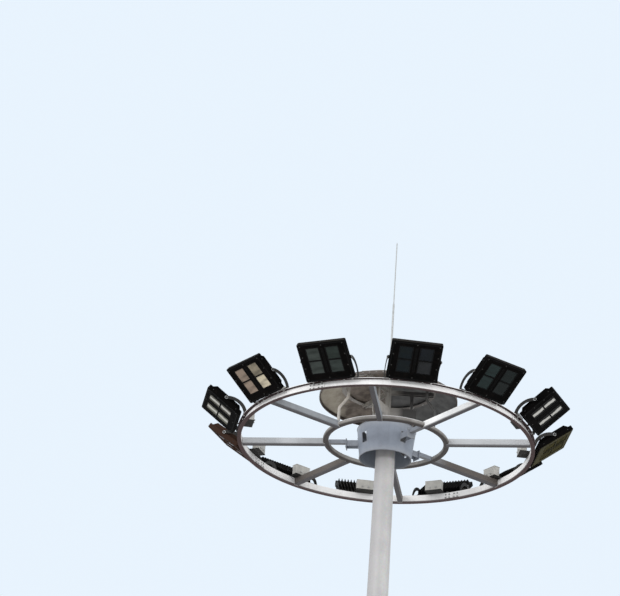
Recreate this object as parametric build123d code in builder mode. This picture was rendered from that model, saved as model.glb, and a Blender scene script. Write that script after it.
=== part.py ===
from build123d import *

import math
import os

# High mast floodlight tower: a tapered steel mast, a head frame with lift sheaves under a rain
# cover, and a carriage with twelve floodlights that can be lowered along the mast.
# Millimetres, +Z up, origin at the centre of the base flange's underside.
# Angles in plan are counted from +X, as seen from above; the front of the mast faces -Y.

# Shaft: three tapered tubes, each slipped over the one below
MAST_HEIGHT = 25000
BASE_DIA = 520
TAPER = 12  # loss of diameter in each metre of height
LOWER_WALL = 8
MIDDLE_WALL = 6
UPPER_WALL = 5
LOWER_TOP = 9000
MIDDLE_TOP = 17200
SLIP_LAP = 650
SLIP_GAP = 0.3

# Base flange, its anchor bolt holes and gussets
FLANGE_DIA = 900
FLANGE_T = 35
CABLE_HOLE_DIA = 260
ANCHOR_CIRCLE = 760
ANCHOR_COUNT = 12
ANCHOR_HOLE_DIA = 36
GUSSET_HEIGHT = 220
GUSSET_T = 12
GUSSET_LIP = 30
GUSSET_INSET = 25

# Access door near the base
DOOR_WIDTH = 240
DOOR_HEIGHT = 640
DOOR_MID_Z = 900
DOOR_CORNER = 60
DOOR_T = 5
DOOR_FRAME_T = 12
DOOR_FRAME_PROUD = 20
DOOR_LOCK_DIA = 44
DOOR_LOCK_T = 8
DOOR_LOCK_PITCH = 440

# Place of the carriage when it is docked: its ring plane lies this far below the shaft's top
RING_DROP = 110

# Head flange and the welded head frame: three pulley boxes of two cheek plates each
HEAD_FLANGE_DIA = 400
HEAD_FLANGE_T = 20
HEAD_PLATE_T = 12
ROPE_HOLE_DIA = 180
BOX_COUNT = 3
BOX_ANGLE = -118
CHEEK_T = 8
CHEEK_GAP = 40
CHEEK_HEIGHT = 330
CHEEK_OVERHANG = 30
CHEEK_TIP_RISE = 150
CHEEK_CORNER = 35
CENTRE_POST_DIA = 76
SPACER_DIA = 20

# Sheaves, their pins and the three lift ropes
ROPE_DIA = 10
ROPE_FALL_R = 335
ROPE_BORE_R = 60
SHEAVE_LIP = 12
SHEAVE_WIDTH = 32
SHEAVE_HUB_DIA = 56
SHEAVE_HUB_WIDTH = 38
SHEAVE_WEB_T = 10
SHEAVE_PIN_DIA = 24
SHEAVE_PIN_HEAD = 6
SHEAVE_PIN_RISE = 172
GROOVE_CLEARANCE = 0.3
ROPE_END_GAP = 0.3
COUPLER_Z = 2400
COUPLER_DIA = 170
COUPLER_T = 25

# Rain cover with its ring, rafters and posts, and the docking horns below it
COVER_RIM_R = 885
COVER_RIM_RISE = 570
COVER_LIP = 40
COVER_RISE = 220
COVER_T = 4
COVER_FLAT_R = 80
COVER_RING_R = 575
COVER_RING_WIDTH = 60
COVER_RING_T = 8
COVER_POST_R = 300
COVER_POST_WIDTH = 40
RAFTER_HEIGHT = 45
SEAT_GAP = 0.3
HORN_COUNT = 3
HORN_ANGLE = -152
HORN_DIA = 38
HORN_FOOT_R = 700
HORN_FOOT_RISE = 70
HORN_BEND_R = 90

# Lightning rod
ROD_RISE = 2840
ROD_DIA = 25
ROD_TIP_DIA = 14
ROD_TIP_LENGTH = 900
ROD_SOCKET_DIA = 48
ROD_SOCKET_HEIGHT = 150
ROD_SOCKET_FLOOR = 20
ROD_FLANGE_DIA = 140
ROD_FLANGE_T = 10

# Carriage: rolled channel outside, round tube inside, spokes between them
RING_R = 1900
RING_HEIGHT = 100
RING_FLANGE = 50
RING_T = 6
INNER_RING_R = 770
INNER_TUBE_DIA = 76
SPOKE_COUNT = 8
SPOKE_ANGLE = -97
SPOKE_HEIGHT = 90
SPOKE_WIDTH = 60

# Guide drum round the shaft, its lifting plate, windows, arms, roller forks and rollers
DRUM_TOP = 160
DRUM_BOTTOM = -240
DRUM_TOP_R = 375
DRUM_BOTTOM_R = 330
DRUM_WALL = 6
LIFT_PLATE_BORE_R = 285
LIFT_PLATE_T = 10
WINDOW_WIDTH = 90
WINDOW_HEIGHT = 140
WINDOW_MID = -30
GUIDE_SPOKES = (6, 1, 3)
WINDOW_SPOKES = (6, 1, 3, 7)
GUIDE_ARM_HEIGHT = 50
GUIDE_ARM_WIDTH = 60
GUIDE_PLATE_R = 500
GUIDE_PLATE_T = 10
GUIDE_PLATE_SIZE = 120
FORK_T = 8
FORK_HEIGHT = 80
FORK_NOSE = 18
ROLLER_DIA = 90
ROLLER_WIDTH = 60
ROLLER_PIN_DIA = 20
SHAFT_CLEARANCE = 8

# Rope sockets on the lifting plate
SOCKET_BASE_DIA = 70
SOCKET_BASE_T = 10
SOCKET_DIA = 34
SOCKET_HEIGHT = 60

# Floodlights: place of their hinges, size of their housings
LAMP_COUNT = 12
LAMP_ANGLE = -82
LAMP_LEAN_ANGLE = 52
LAMP_OVERHANG = 215
LAMP_PIVOT_RISE = 228
LAMP_WIDTH = 640
LAMP_HEIGHT = 534
LAMP_FRONT = 60
LAMP_CORNER = 18
WINDOW_BEVEL = 6
PANE_WIDTH = 167
PANE_HEIGHT = 172
PANE_PITCH_X = 260
PANE_PITCH_Y = 184
PANE_SHIFT_Y = 20
PANE_T = 5
PANE_SINK = 4
PANE_GAP = 0.3
DISH_LEDGE = 7
DISH_DEPTH = 38
DISH_TAPER = 48
FIN_COUNT = 15
FIN_DEPTH = 55
FIN_T = 5
FIN_LENGTH = 480
FIN_TIP_LENGTH = 380
FIN_SPAN = 570

# Yokes, hinge bolts and driver boxes of the floodlights
BOSS_DIA = 44
BOSS_LENGTH = 10
YOKE_T = 6
YOKE_WIDTH = 44
YOKE_GAP = 0.3
YOKE_FOOT_T = 8
YOKE_FOOT_WIDTH = 40
YOKE_FOOT_INSET = 38
YOKE_BULGE = 42
BOLT_DIA = 12
BOLT_CLEARANCE = 0.3
BOLT_REACH = 25
BOLT_HEAD_DIA = 30
BOLT_HEAD_T = 10
TRAY_LENGTH = 230
DRIVER_INSET = 140
DRIVER_DEPTH = 90
DRIVER_LENGTH = 220
DRIVER_HEIGHT = 120
DRIVER_CORNER = 8

# Heights and radii worked out from the values above
ring_z = MAST_HEIGHT - RING_DROP
head_plate_z = MAST_HEIGHT + HEAD_FLANGE_T
box_z = head_plate_z + HEAD_PLATE_T
box_top_z = box_z + CHEEK_HEIGHT
sheave_z = box_z + SHEAVE_PIN_RISE
sheave_r = (ROPE_FALL_R + ROPE_BORE_R) / 2
sheave_pitch_r = (ROPE_FALL_R - ROPE_BORE_R) / 2
drum_top_z = ring_z + DRUM_TOP
lamp_pivot_r = RING_R + LAMP_OVERHANG
yoke_foot_r = RING_R - YOKE_FOOT_INSET
driver_r = RING_R - DRIVER_INSET
cover_rim_z = ring_z + COVER_RIM_RISE
cover_edge_z = cover_rim_z + COVER_LIP
cover_top_z = cover_edge_z + COVER_RISE


def dia_after(low_dia, low, high):
    """Diameter of a tapered tube at a height, from its diameter lower down."""
    return low_dia - TAPER * (high - low) / 1000


def ring_copies(count, start):
    """Places round the mast axis for pieces drawn along +X."""
    return PolarLocations(0, count, start_angle=start)


# Diameters of the three shaft tubes
middle_low = LOWER_TOP - SLIP_LAP
middle_dia = dia_after(BASE_DIA, FLANGE_T, middle_low) + 2 * (SLIP_GAP + MIDDLE_WALL)
upper_low = MIDDLE_TOP - SLIP_LAP
upper_dia = dia_after(middle_dia, middle_low, upper_low) + 2 * (SLIP_GAP + UPPER_WALL)

# Cap of the rain cover: part of a sphere round a point on the mast axis
cap_centre_z = (cover_top_z**2 + COVER_FLAT_R**2 - cover_edge_z**2 - COVER_RIM_R**2) / (2 * COVER_RISE)
cap_radius = math.hypot(COVER_RIM_R, cover_edge_z - cap_centre_z)


def cover_inside_z(radius):
    """Height of the rain cover's inner skin at a distance from the mast axis."""
    return cap_centre_z + math.sqrt(cap_radius**2 - radius**2) - COVER_T


# Flat ring under the cover: its outer edge meets the inner skin
cover_ring_outer_r = COVER_RING_R + COVER_RING_WIDTH / 2
cover_ring_z = cover_inside_z(cover_ring_outer_r) - SEAT_GAP - COVER_RING_T


def shaft_tube(low, high, low_dia, wall):
    """Tapered round tube."""
    low_r = low_dia / 2
    high_r = dia_after(low_dia, low, high) / 2
    with BuildPart() as tube:
        with BuildSketch(Plane.XZ):
            with BuildLine():
                Polyline(
                    (low_r - wall, low),
                    (low_r, low),
                    (high_r, high),
                    (high_r - wall, high),
                    close=True,
                )
            make_face()
        revolve(axis=Axis.Z)
    return tube.part


# Base flange
with BuildPart() as base_flange:
    with BuildSketch():
        Circle(FLANGE_DIA / 2)
        Circle(CABLE_HOLE_DIA / 2, mode=Mode.SUBTRACT)
        with PolarLocations(ANCHOR_CIRCLE / 2, ANCHOR_COUNT):
            Circle(ANCHOR_HOLE_DIA / 2, mode=Mode.SUBTRACT)
    extrude(amount=FLANGE_T)

# One gusset, then its copies halfway between the anchor bolts
gusset_top = FLANGE_T + GUSSET_HEIGHT
gusset_outer_r = FLANGE_DIA / 2 - GUSSET_INSET
gusset_top_r = dia_after(BASE_DIA, FLANGE_T, gusset_top) / 2
with BuildPart() as gusset:
    with BuildSketch(Plane.XZ):
        with BuildLine():
            Polyline(
                (BASE_DIA / 2, FLANGE_T),
                (gusset_outer_r, FLANGE_T),
                (gusset_outer_r, FLANGE_T + GUSSET_LIP),
                (gusset_top_r + GUSSET_LIP, gusset_top),
                (gusset_top_r, gusset_top),
                close=True,
            )
        make_face()
    extrude(amount=GUSSET_T / 2, both=True)

with BuildPart() as base_gussets:
    with ring_copies(ANCHOR_COUNT, 180 / ANCHOR_COUNT):
        add(gusset.part)

# Access door: a frame let into the shaft's front, and a closed leaf on it
door_outer_w = DOOR_WIDTH + 2 * DOOR_FRAME_T
door_outer_h = DOOR_HEIGHT + 2 * DOOR_FRAME_T
door_low_r = dia_after(BASE_DIA, FLANGE_T, DOOR_MID_Z - door_outer_h / 2) / 2
door_high_r = dia_after(BASE_DIA, FLANGE_T, DOOR_MID_Z + door_outer_h / 2) / 2
door_back_y = math.sqrt((door_high_r - LOWER_WALL) ** 2 - (door_outer_w / 2) ** 2) - DOOR_FRAME_T
door_front_y = door_low_r + DOOR_FRAME_PROUD
door_depth = door_front_y - door_back_y

with BuildPart() as door_frame:
    with BuildSketch(Plane.XZ.offset(door_back_y)):
        with Locations((0, DOOR_MID_Z)):
            RectangleRounded(door_outer_w, door_outer_h, DOOR_CORNER + DOOR_FRAME_T)
            RectangleRounded(DOOR_WIDTH, DOOR_HEIGHT, DOOR_CORNER, mode=Mode.SUBTRACT)
    extrude(amount=door_depth)

with BuildPart() as access_door:
    with BuildSketch(Plane.XZ.offset(door_front_y)):
        with Locations((0, DOOR_MID_Z)):
            RectangleRounded(door_outer_w, door_outer_h, DOOR_CORNER + DOOR_FRAME_T)
    extrude(amount=DOOR_T)
    with BuildSketch(Plane.XZ.offset(door_front_y + DOOR_T)):
        with Locations((0, DOOR_MID_Z)):
            with GridLocations(0, DOOR_LOCK_PITCH, 1, 2):
                Circle(DOOR_LOCK_DIA / 2)
    extrude(amount=DOOR_LOCK_T)

# Shaft
with BuildPart() as shaft_lower:
    add(shaft_tube(FLANGE_T, LOWER_TOP, BASE_DIA, LOWER_WALL))
    with BuildSketch(Plane.XZ.offset(door_back_y)):
        with Locations((0, DOOR_MID_Z)):
            RectangleRounded(door_outer_w, door_outer_h, DOOR_CORNER + DOOR_FRAME_T)
    extrude(amount=door_depth, mode=Mode.SUBTRACT)

with BuildPart() as shaft_middle:
    add(shaft_tube(middle_low, MIDDLE_TOP, middle_dia, MIDDLE_WALL))

with BuildPart() as shaft_upper:
    add(shaft_tube(upper_low, MAST_HEIGHT, upper_dia, UPPER_WALL))

# Head flange on the shaft's top
with BuildPart() as head_flange:
    with BuildSketch(Plane.XY.offset(MAST_HEIGHT)):
        Circle(HEAD_FLANGE_DIA / 2)
        Circle(ROPE_HOLE_DIA / 2, mode=Mode.SUBTRACT)
    extrude(amount=HEAD_FLANGE_T)

# Head frame: plate, centre post, three pulley boxes and the rafters over them
box_tip_r = ROPE_FALL_R + CHEEK_OVERHANG
cheek_inner_r = math.sqrt((CENTRE_POST_DIA / 2) ** 2 - (CHEEK_GAP / 2 + CHEEK_T) ** 2)
rafter_z = cover_ring_z - RAFTER_HEIGHT

with BuildPart() as pulley_box:
    with BuildSketch(Plane.XZ.offset(CHEEK_GAP / 2)) as cheek:
        with BuildLine():
            Polyline(
                (cheek_inner_r, box_z),
                (HEAD_FLANGE_DIA / 2, box_z),
                (box_tip_r, box_z + CHEEK_TIP_RISE),
                (box_tip_r, box_top_z),
                (cheek_inner_r, box_top_z),
                close=True,
            )
        make_face()
        fillet(cheek.vertices().sort_by(Axis.X)[-2:], CHEEK_CORNER)
        with Locations((sheave_r, sheave_z)):
            Circle(SHEAVE_PIN_DIA / 2, mode=Mode.SUBTRACT)
        with Locations(((cheek_inner_r + COVER_RING_R) / 2, rafter_z + RAFTER_HEIGHT / 2)):
            Rectangle(COVER_RING_R - cheek_inner_r, RAFTER_HEIGHT)
    extrude(amount=CHEEK_T)
    mirror(about=Plane.XZ)
    with BuildSketch(Plane.XZ):
        with Locations((ROPE_FALL_R, box_top_z - SPACER_DIA)):
            Circle(SPACER_DIA / 2)
    extrude(amount=CHEEK_GAP / 2, both=True)

with BuildPart() as head_frame:
    with BuildSketch(Plane.XY.offset(head_plate_z)):
        Circle(HEAD_FLANGE_DIA / 2)
        Circle(ROPE_HOLE_DIA / 2, mode=Mode.SUBTRACT)
    extrude(amount=HEAD_PLATE_T)
    with BuildSketch(Plane.XY.offset(box_z)):
        Circle(CENTRE_POST_DIA / 2)
    extrude(amount=cover_top_z - COVER_T - box_z)
    with ring_copies(BOX_COUNT, BOX_ANGLE):
        add(pulley_box.part)

# Sheaves and pins
groove_bottom_r = sheave_pitch_r - ROPE_DIA / 2 - GROOVE_CLEARANCE
groove_half = ROPE_DIA / 2 + GROOVE_CLEARANCE
sheave_rim_r = sheave_pitch_r + SHEAVE_LIP


def sheave_profile_points():
    """Half section of a sheave, as (across, radius) points above its axis."""
    rim_low_r = groove_bottom_r - SHEAVE_LIP
    return [
        (-SHEAVE_HUB_WIDTH / 2, SHEAVE_PIN_DIA / 2),
        (SHEAVE_HUB_WIDTH / 2, SHEAVE_PIN_DIA / 2),
        (SHEAVE_HUB_WIDTH / 2, SHEAVE_HUB_DIA / 2),
        (SHEAVE_WEB_T / 2, SHEAVE_HUB_DIA / 2),
        (SHEAVE_WEB_T / 2, rim_low_r),
        (SHEAVE_WIDTH / 2, rim_low_r),
        (SHEAVE_WIDTH / 2, sheave_rim_r),
        (groove_half, groove_bottom_r),
        (-groove_half, groove_bottom_r),
        (-SHEAVE_WIDTH / 2, sheave_rim_r),
        (-SHEAVE_WIDTH / 2, rim_low_r),
        (-SHEAVE_WEB_T / 2, rim_low_r),
        (-SHEAVE_WEB_T / 2, SHEAVE_HUB_DIA / 2),
        (-SHEAVE_HUB_WIDTH / 2, SHEAVE_HUB_DIA / 2),
    ]


with BuildPart() as sheave:
    with BuildSketch(Plane(origin=(sheave_r, 0, sheave_z), x_dir=(0, 1, 0), z_dir=(1, 0, 0))):
        with BuildLine():
            Polyline(*sheave_profile_points(), close=True)
        make_face()
    revolve(axis=Axis((sheave_r, 0, sheave_z), (0, 1, 0)))

with BuildPart() as sheaves:
    with ring_copies(BOX_COUNT, BOX_ANGLE):
        add(sheave.part)

with BuildPart() as sheave_pin:
    with BuildSketch(Plane.XZ):
        with Locations((sheave_r, sheave_z)):
            Circle(SHEAVE_PIN_DIA / 2)
    extrude(amount=CHEEK_GAP / 2 + CHEEK_T + SHEAVE_PIN_HEAD, both=True)

with BuildPart() as sheave_pins:
    with ring_copies(BOX_COUNT, BOX_ANGLE):
        add(sheave_pin.part)

# Lift rope: up from its socket, over the sheave and down the bore to the coupler
rope_low_z = drum_top_z + SOCKET_HEIGHT + ROPE_END_GAP
coupler_top_z = COUPLER_Z + COUPLER_T
with BuildPart() as rope:
    with BuildLine(Plane.XZ) as rope_path:
        Line((ROPE_FALL_R, rope_low_z), (ROPE_FALL_R, sheave_z))
        ThreePointArc(
            (ROPE_FALL_R, sheave_z),
            (sheave_r, sheave_z + sheave_pitch_r),
            (ROPE_BORE_R, sheave_z),
        )
        Line((ROPE_BORE_R, sheave_z), (ROPE_BORE_R, coupler_top_z))
    with BuildSketch(Plane.XY.offset(rope_low_z)):
        with Locations((ROPE_FALL_R, 0)):
            Circle(ROPE_DIA / 2)
    sweep(path=rope_path.line)

with BuildPart() as lift_ropes:
    with ring_copies(BOX_COUNT, BOX_ANGLE):
        add(rope.part)

with BuildPart() as rope_coupler:
    with BuildSketch(Plane.XY.offset(COUPLER_Z)):
        Circle(COUPLER_DIA / 2)
    extrude(amount=COUPLER_T)

# Rain cover: shallow cap with a lip and a flat middle, turned about the mast axis
with BuildPart() as rain_cover:
    with BuildSketch(Plane.XZ):
        with BuildLine():
            RadiusArc((COVER_FLAT_R, cover_top_z), (COVER_RIM_R, cover_edge_z), cap_radius)
            Polyline(
                (COVER_RIM_R, cover_edge_z),
                (COVER_RIM_R, cover_rim_z),
                (COVER_RIM_R - COVER_T, cover_rim_z),
                (COVER_RIM_R - COVER_T, cover_inside_z(COVER_RIM_R - COVER_T)),
            )
            RadiusArc(
                (COVER_RIM_R - COVER_T, cover_inside_z(COVER_RIM_R - COVER_T)),
                (COVER_FLAT_R, cover_inside_z(COVER_FLAT_R)),
                -cap_radius,
            )
            Polyline(
                (COVER_FLAT_R, cover_inside_z(COVER_FLAT_R)),
                (0, cover_inside_z(COVER_FLAT_R)),
                (0, cover_top_z),
                (COVER_FLAT_R, cover_top_z),
            )
        make_face()
    revolve(axis=Axis.Z)

# Flat ring under the cover, on the rafters, and the posts between the boxes and the rafters
with BuildPart() as cover_ring:
    with BuildSketch(Plane.XY.offset(cover_ring_z)):
        Circle(cover_ring_outer_r)
        Circle(COVER_RING_R - COVER_RING_WIDTH / 2, mode=Mode.SUBTRACT)
    extrude(amount=COVER_RING_T)

cheek_y = (CHEEK_GAP + CHEEK_T) / 2
with BuildPart() as cover_posts:
    with BuildSketch(Plane.XY.offset(box_top_z)):
        with ring_copies(BOX_COUNT, BOX_ANGLE):
            with Locations((COVER_POST_R, -cheek_y), (COVER_POST_R, cheek_y)):
                Rectangle(COVER_POST_WIDTH, CHEEK_T)
    extrude(amount=rafter_z - box_top_z)

# Docking horns: bent tubes that hang from the ring and guide the carriage into its place
horn_foot_z = ring_z + HORN_FOOT_RISE
horn_knee_z = (horn_foot_z + cover_ring_z) / 2
with BuildPart() as horn:
    with BuildLine(Plane.XZ) as horn_path:
        FilletPolyline(
            (COVER_RING_R, cover_ring_z),
            (COVER_RING_R, horn_knee_z + HORN_BEND_R),
            (HORN_FOOT_R, horn_knee_z - HORN_BEND_R),
            (HORN_FOOT_R, horn_foot_z),
            radius=HORN_BEND_R,
        )
    with BuildSketch(Plane.XY.offset(cover_ring_z)):
        with Locations((COVER_RING_R, 0)):
            Circle(HORN_DIA / 2)
    sweep(path=horn_path.line)

with BuildPart() as docking_horns:
    with ring_copies(HORN_COUNT, HORN_ANGLE):
        add(horn.part)

# Lightning rod in its socket on the cover
rod_floor_z = cover_top_z + ROD_FLANGE_T + ROD_SOCKET_FLOOR
rod_top_z = ring_z + ROD_RISE
with BuildPart() as rod_base:
    with BuildSketch(Plane.XY.offset(cover_top_z)):
        Circle(ROD_FLANGE_DIA / 2)
    extrude(amount=ROD_FLANGE_T)
    with BuildSketch(Plane.XY.offset(cover_top_z + ROD_FLANGE_T)):
        Circle(ROD_SOCKET_DIA / 2)
    extrude(amount=ROD_SOCKET_HEIGHT)
    with BuildSketch(Plane.XY.offset(rod_floor_z)):
        Circle(ROD_DIA / 2)
    extrude(amount=ROD_SOCKET_HEIGHT, mode=Mode.SUBTRACT)

with BuildPart() as lightning_rod:
    with BuildSketch(Plane.XZ):
        with BuildLine():
            Polyline(
                (0, rod_floor_z),
                (ROD_DIA / 2, rod_floor_z),
                (ROD_DIA / 2, rod_top_z - ROD_TIP_LENGTH),
                (ROD_TIP_DIA / 2, rod_top_z - ROD_TIP_LENGTH + ROD_DIA),
                (ROD_TIP_DIA / 2, rod_top_z - 2 * ROD_TIP_DIA),
                (0, rod_top_z),
                close=True,
            )
        make_face()
    revolve(axis=Axis.Z)

# Carriage: outer ring, a channel with its flanges outwards
ring_web_r = RING_R - RING_FLANGE
with BuildPart() as outer_ring:
    with BuildSketch(Plane.XZ):
        with Locations(((ring_web_r + RING_R) / 2, ring_z)):
            Rectangle(RING_FLANGE, RING_HEIGHT)
        with Locations(((ring_web_r + RING_R) / 2 + RING_T, ring_z)):
            Rectangle(RING_FLANGE, RING_HEIGHT - 2 * RING_T, mode=Mode.SUBTRACT)
    revolve(axis=Axis.Z)

inner_tube_r = INNER_TUBE_DIA / 2
with BuildPart() as inner_ring:
    with BuildSketch(Plane.XZ):
        with Locations((INNER_RING_R, ring_z)):
            Circle(inner_tube_r)
    revolve(axis=Axis.Z)

# Spokes from the channel's web to the inner tube, their ends cut to fit round the tube
spoke_high_r = math.sqrt(ring_web_r**2 - (SPOKE_WIDTH / 2) ** 2)
with BuildPart() as spokes:
    with BuildSketch(Plane.XY.offset(ring_z - SPOKE_HEIGHT / 2)):
        with ring_copies(SPOKE_COUNT, SPOKE_ANGLE):
            with Locations(((INNER_RING_R + spoke_high_r) / 2, 0)):
                Rectangle(spoke_high_r - INNER_RING_R, SPOKE_WIDTH)
    extrude(amount=SPOKE_HEIGHT)
    add(inner_ring.part, mode=Mode.SUBTRACT)


def drum_radius(rise):
    """Outer radius of the guide drum at a height above the ring plane."""
    share = (rise - DRUM_BOTTOM) / (DRUM_TOP - DRUM_BOTTOM)
    return DRUM_BOTTOM_R + share * (DRUM_TOP_R - DRUM_BOTTOM_R)


# Guide drum: tapered sleeve with the lifting plate inside its top and windows in line with spokes
window_angles = [SPOKE_ANGLE + 360 / SPOKE_COUNT * place for place in WINDOW_SPOKES]
with BuildPart() as guide_drum:
    with BuildSketch(Plane.XZ):
        with BuildLine():
            Polyline(
                (DRUM_BOTTOM_R - DRUM_WALL, ring_z + DRUM_BOTTOM),
                (DRUM_BOTTOM_R, ring_z + DRUM_BOTTOM),
                (DRUM_TOP_R, drum_top_z),
                (LIFT_PLATE_BORE_R, drum_top_z),
                (LIFT_PLATE_BORE_R, drum_top_z - LIFT_PLATE_T),
                (drum_radius(DRUM_TOP - LIFT_PLATE_T) - DRUM_WALL, drum_top_z - LIFT_PLATE_T),
                close=True,
            )
        make_face()
    revolve(axis=Axis.Z)
    with BuildSketch(Plane.XY.offset(ring_z + WINDOW_MID - WINDOW_HEIGHT / 2)):
        with Locations(*[Location((0, 0, 0), (0, 0, angle)) for angle in window_angles]):
            with Locations((DRUM_TOP_R, 0)):
                Rectangle(DRUM_TOP_R, WINDOW_WIDTH)
    extrude(amount=WINDOW_HEIGHT, mode=Mode.SUBTRACT)

# Guide arms: a stub from the inner ring, an upright plate, a fork and a roller in a window
roller_r = BASE_DIA / 2 + SHAFT_CLEARANCE + ROLLER_DIA / 2
roller_z = ring_z + WINDOW_MID
fork_nose_r = roller_r - FORK_NOSE
stub_high_r = math.sqrt((INNER_RING_R - inner_tube_r) ** 2 - (GUIDE_ARM_WIDTH / 2) ** 2)
stub_low_r = GUIDE_PLATE_R + GUIDE_PLATE_T
guide_angles = [SPOKE_ANGLE + 360 / SPOKE_COUNT * place for place in GUIDE_SPOKES]

with BuildPart() as guide_arm:
    with BuildSketch(Plane.XY.offset(ring_z - GUIDE_ARM_HEIGHT / 2)):
        with Locations(((stub_low_r + stub_high_r) / 2, 0)):
            Rectangle(stub_high_r - stub_low_r, GUIDE_ARM_WIDTH)
    extrude(amount=GUIDE_ARM_HEIGHT)
    with BuildSketch(Plane.XY.offset(roller_z - GUIDE_PLATE_SIZE / 2)):
        with Locations((GUIDE_PLATE_R + GUIDE_PLATE_T / 2, 0)):
            Rectangle(GUIDE_PLATE_T, GUIDE_PLATE_SIZE)
    extrude(amount=GUIDE_PLATE_SIZE)
    with BuildSketch(Plane.XY.offset(roller_z - FORK_HEIGHT / 2)):
        with Locations(((fork_nose_r + GUIDE_PLATE_R) / 2, 0)):
            Rectangle(GUIDE_PLATE_R - fork_nose_r, WINDOW_WIDTH)
            Rectangle(GUIDE_PLATE_R - fork_nose_r, WINDOW_WIDTH - 2 * FORK_T, mode=Mode.SUBTRACT)
    extrude(amount=FORK_HEIGHT)
    with BuildSketch(Plane.XZ):
        with Locations((roller_r, roller_z)):
            Circle(ROLLER_PIN_DIA / 2)
    extrude(amount=WINDOW_WIDTH, both=True, mode=Mode.SUBTRACT)

with BuildPart() as guide_roller:
    with BuildSketch(Plane.XZ):
        with Locations((roller_r, roller_z)):
            Circle(ROLLER_DIA / 2)
            Circle(ROLLER_PIN_DIA / 2, mode=Mode.SUBTRACT)
    extrude(amount=ROLLER_WIDTH / 2, both=True)

with BuildPart() as guide_pin:
    with BuildSketch(Plane.XZ):
        with Locations((roller_r, roller_z)):
            Circle(ROLLER_PIN_DIA / 2)
    extrude(amount=WINDOW_WIDTH / 2, both=True)


def on_guide_spokes(piece):
    """Copies of a piece drawn along +X, one in line with each guide spoke."""
    with BuildPart() as copies:
        with Locations(*[Location((0, 0, 0), (0, 0, angle)) for angle in guide_angles]):
            add(piece)
    return copies.part


guide_arms = on_guide_spokes(guide_arm.part)
guide_rollers = on_guide_spokes(guide_roller.part)
roller_pins = on_guide_spokes(guide_pin.part)

# Rope sockets on the lifting plate
with BuildPart() as rope_socket:
    with BuildSketch(Plane.XY.offset(drum_top_z)):
        with Locations((ROPE_FALL_R, 0)):
            Circle(SOCKET_BASE_DIA / 2)
    extrude(amount=SOCKET_BASE_T)
    with BuildSketch(Plane.XY.offset(drum_top_z)):
        with Locations((ROPE_FALL_R, 0)):
            Circle(SOCKET_DIA / 2)
    extrude(amount=SOCKET_HEIGHT)

with BuildPart() as rope_sockets:
    with ring_copies(BOX_COUNT, BOX_ANGLE):
        add(rope_socket.part)

# Yokes: a foot plate on the channel with a tray behind, and two curved arms
pivot_z = ring_z + LAMP_PIVOT_RISE
channel_top_z = ring_z + RING_HEIGHT / 2
foot_top_z = channel_top_z + YOKE_FOOT_T
boss_root = LAMP_WIDTH / 2 - BOSS_DIA
boss_face = LAMP_WIDTH / 2 + BOSS_LENGTH
arm_inner_y = boss_face + YOKE_GAP
arm_outer_y = arm_inner_y + YOKE_T
tray_low_r = driver_r - DRIVER_DEPTH / 2
arm_mid_r = (yoke_foot_r + lamp_pivot_r) / 2 - YOKE_BULGE
arm_mid_z = (foot_top_z + pivot_z) / 2 + YOKE_BULGE

with BuildPart() as yoke:
    with BuildSketch(Plane.XY.offset(channel_top_z)):
        with Locations((yoke_foot_r, 0)):
            Rectangle(YOKE_FOOT_WIDTH, 2 * arm_outer_y)
        with Locations(((tray_low_r + yoke_foot_r) / 2, 0)):
            Rectangle(yoke_foot_r - tray_low_r, TRAY_LENGTH)
    extrude(amount=YOKE_FOOT_T)
    with BuildSketch(Plane.XZ.offset(arm_inner_y)):
        with BuildLine():
            arm_curve = ThreePointArc(
                (yoke_foot_r, channel_top_z),
                (arm_mid_r, arm_mid_z),
                (lamp_pivot_r, pivot_z),
            )
        SlotArc(arm_curve, YOKE_WIDTH)
        with Locations((yoke_foot_r, channel_top_z - YOKE_WIDTH / 2)):
            Rectangle(2 * YOKE_WIDTH, YOKE_WIDTH, mode=Mode.SUBTRACT)
        with Locations((lamp_pivot_r, pivot_z)):
            Circle(BOLT_DIA / 2, mode=Mode.SUBTRACT)
    extrude(amount=YOKE_T)
    mirror(about=Plane.XZ)

with BuildPart() as lamp_yokes:
    with ring_copies(LAMP_COUNT, LAMP_ANGLE):
        add(yoke.part)

# Hinge bolts of the floodlights
with BuildPart() as hinge_bolt:
    with BuildSketch(Plane.XZ.offset(-arm_outer_y)):
        with Locations((lamp_pivot_r, pivot_z)):
            RegularPolygon(BOLT_HEAD_DIA / 2, 6)
    extrude(amount=-BOLT_HEAD_T)
    with BuildSketch(Plane.XZ.offset(-arm_outer_y)):
        with Locations((lamp_pivot_r, pivot_z)):
            Circle(BOLT_DIA / 2)
    extrude(amount=arm_outer_y - boss_face + BOLT_REACH)

with BuildPart() as bolt_pair:
    add(hinge_bolt.part)
    mirror(about=Plane.XZ)

with BuildPart() as hinge_bolts:
    with ring_copies(LAMP_COUNT, LAMP_ANGLE):
        add(bolt_pair.part)

# Driver boxes on the trays
with BuildPart() as driver_box:
    with BuildSketch(Plane.XY.offset(foot_top_z)):
        with Locations((driver_r, 0)):
            RectangleRounded(DRIVER_DEPTH, DRIVER_LENGTH, DRIVER_CORNER)
    extrude(amount=DRIVER_HEIGHT)

with BuildPart() as driver_boxes:
    with ring_copies(LAMP_COUNT, LAMP_ANGLE):
        add(driver_box.part)


def lamp_plane(number):
    """Plane of a floodlight at its hinge: x along the hinge, z the way the lamp faces."""
    turn = math.radians(LAMP_ANGLE + 360 / LAMP_COUNT * number)
    lean = math.radians(LAMP_LEAN_ANGLE)
    return Plane(
        origin=(lamp_pivot_r * math.cos(turn), lamp_pivot_r * math.sin(turn), pivot_z),
        x_dir=(-math.sin(turn), math.cos(turn), 0),
        z_dir=(math.cos(turn) * math.cos(lean), math.sin(turn) * math.cos(lean), -math.sin(lean)),
    )


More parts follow.
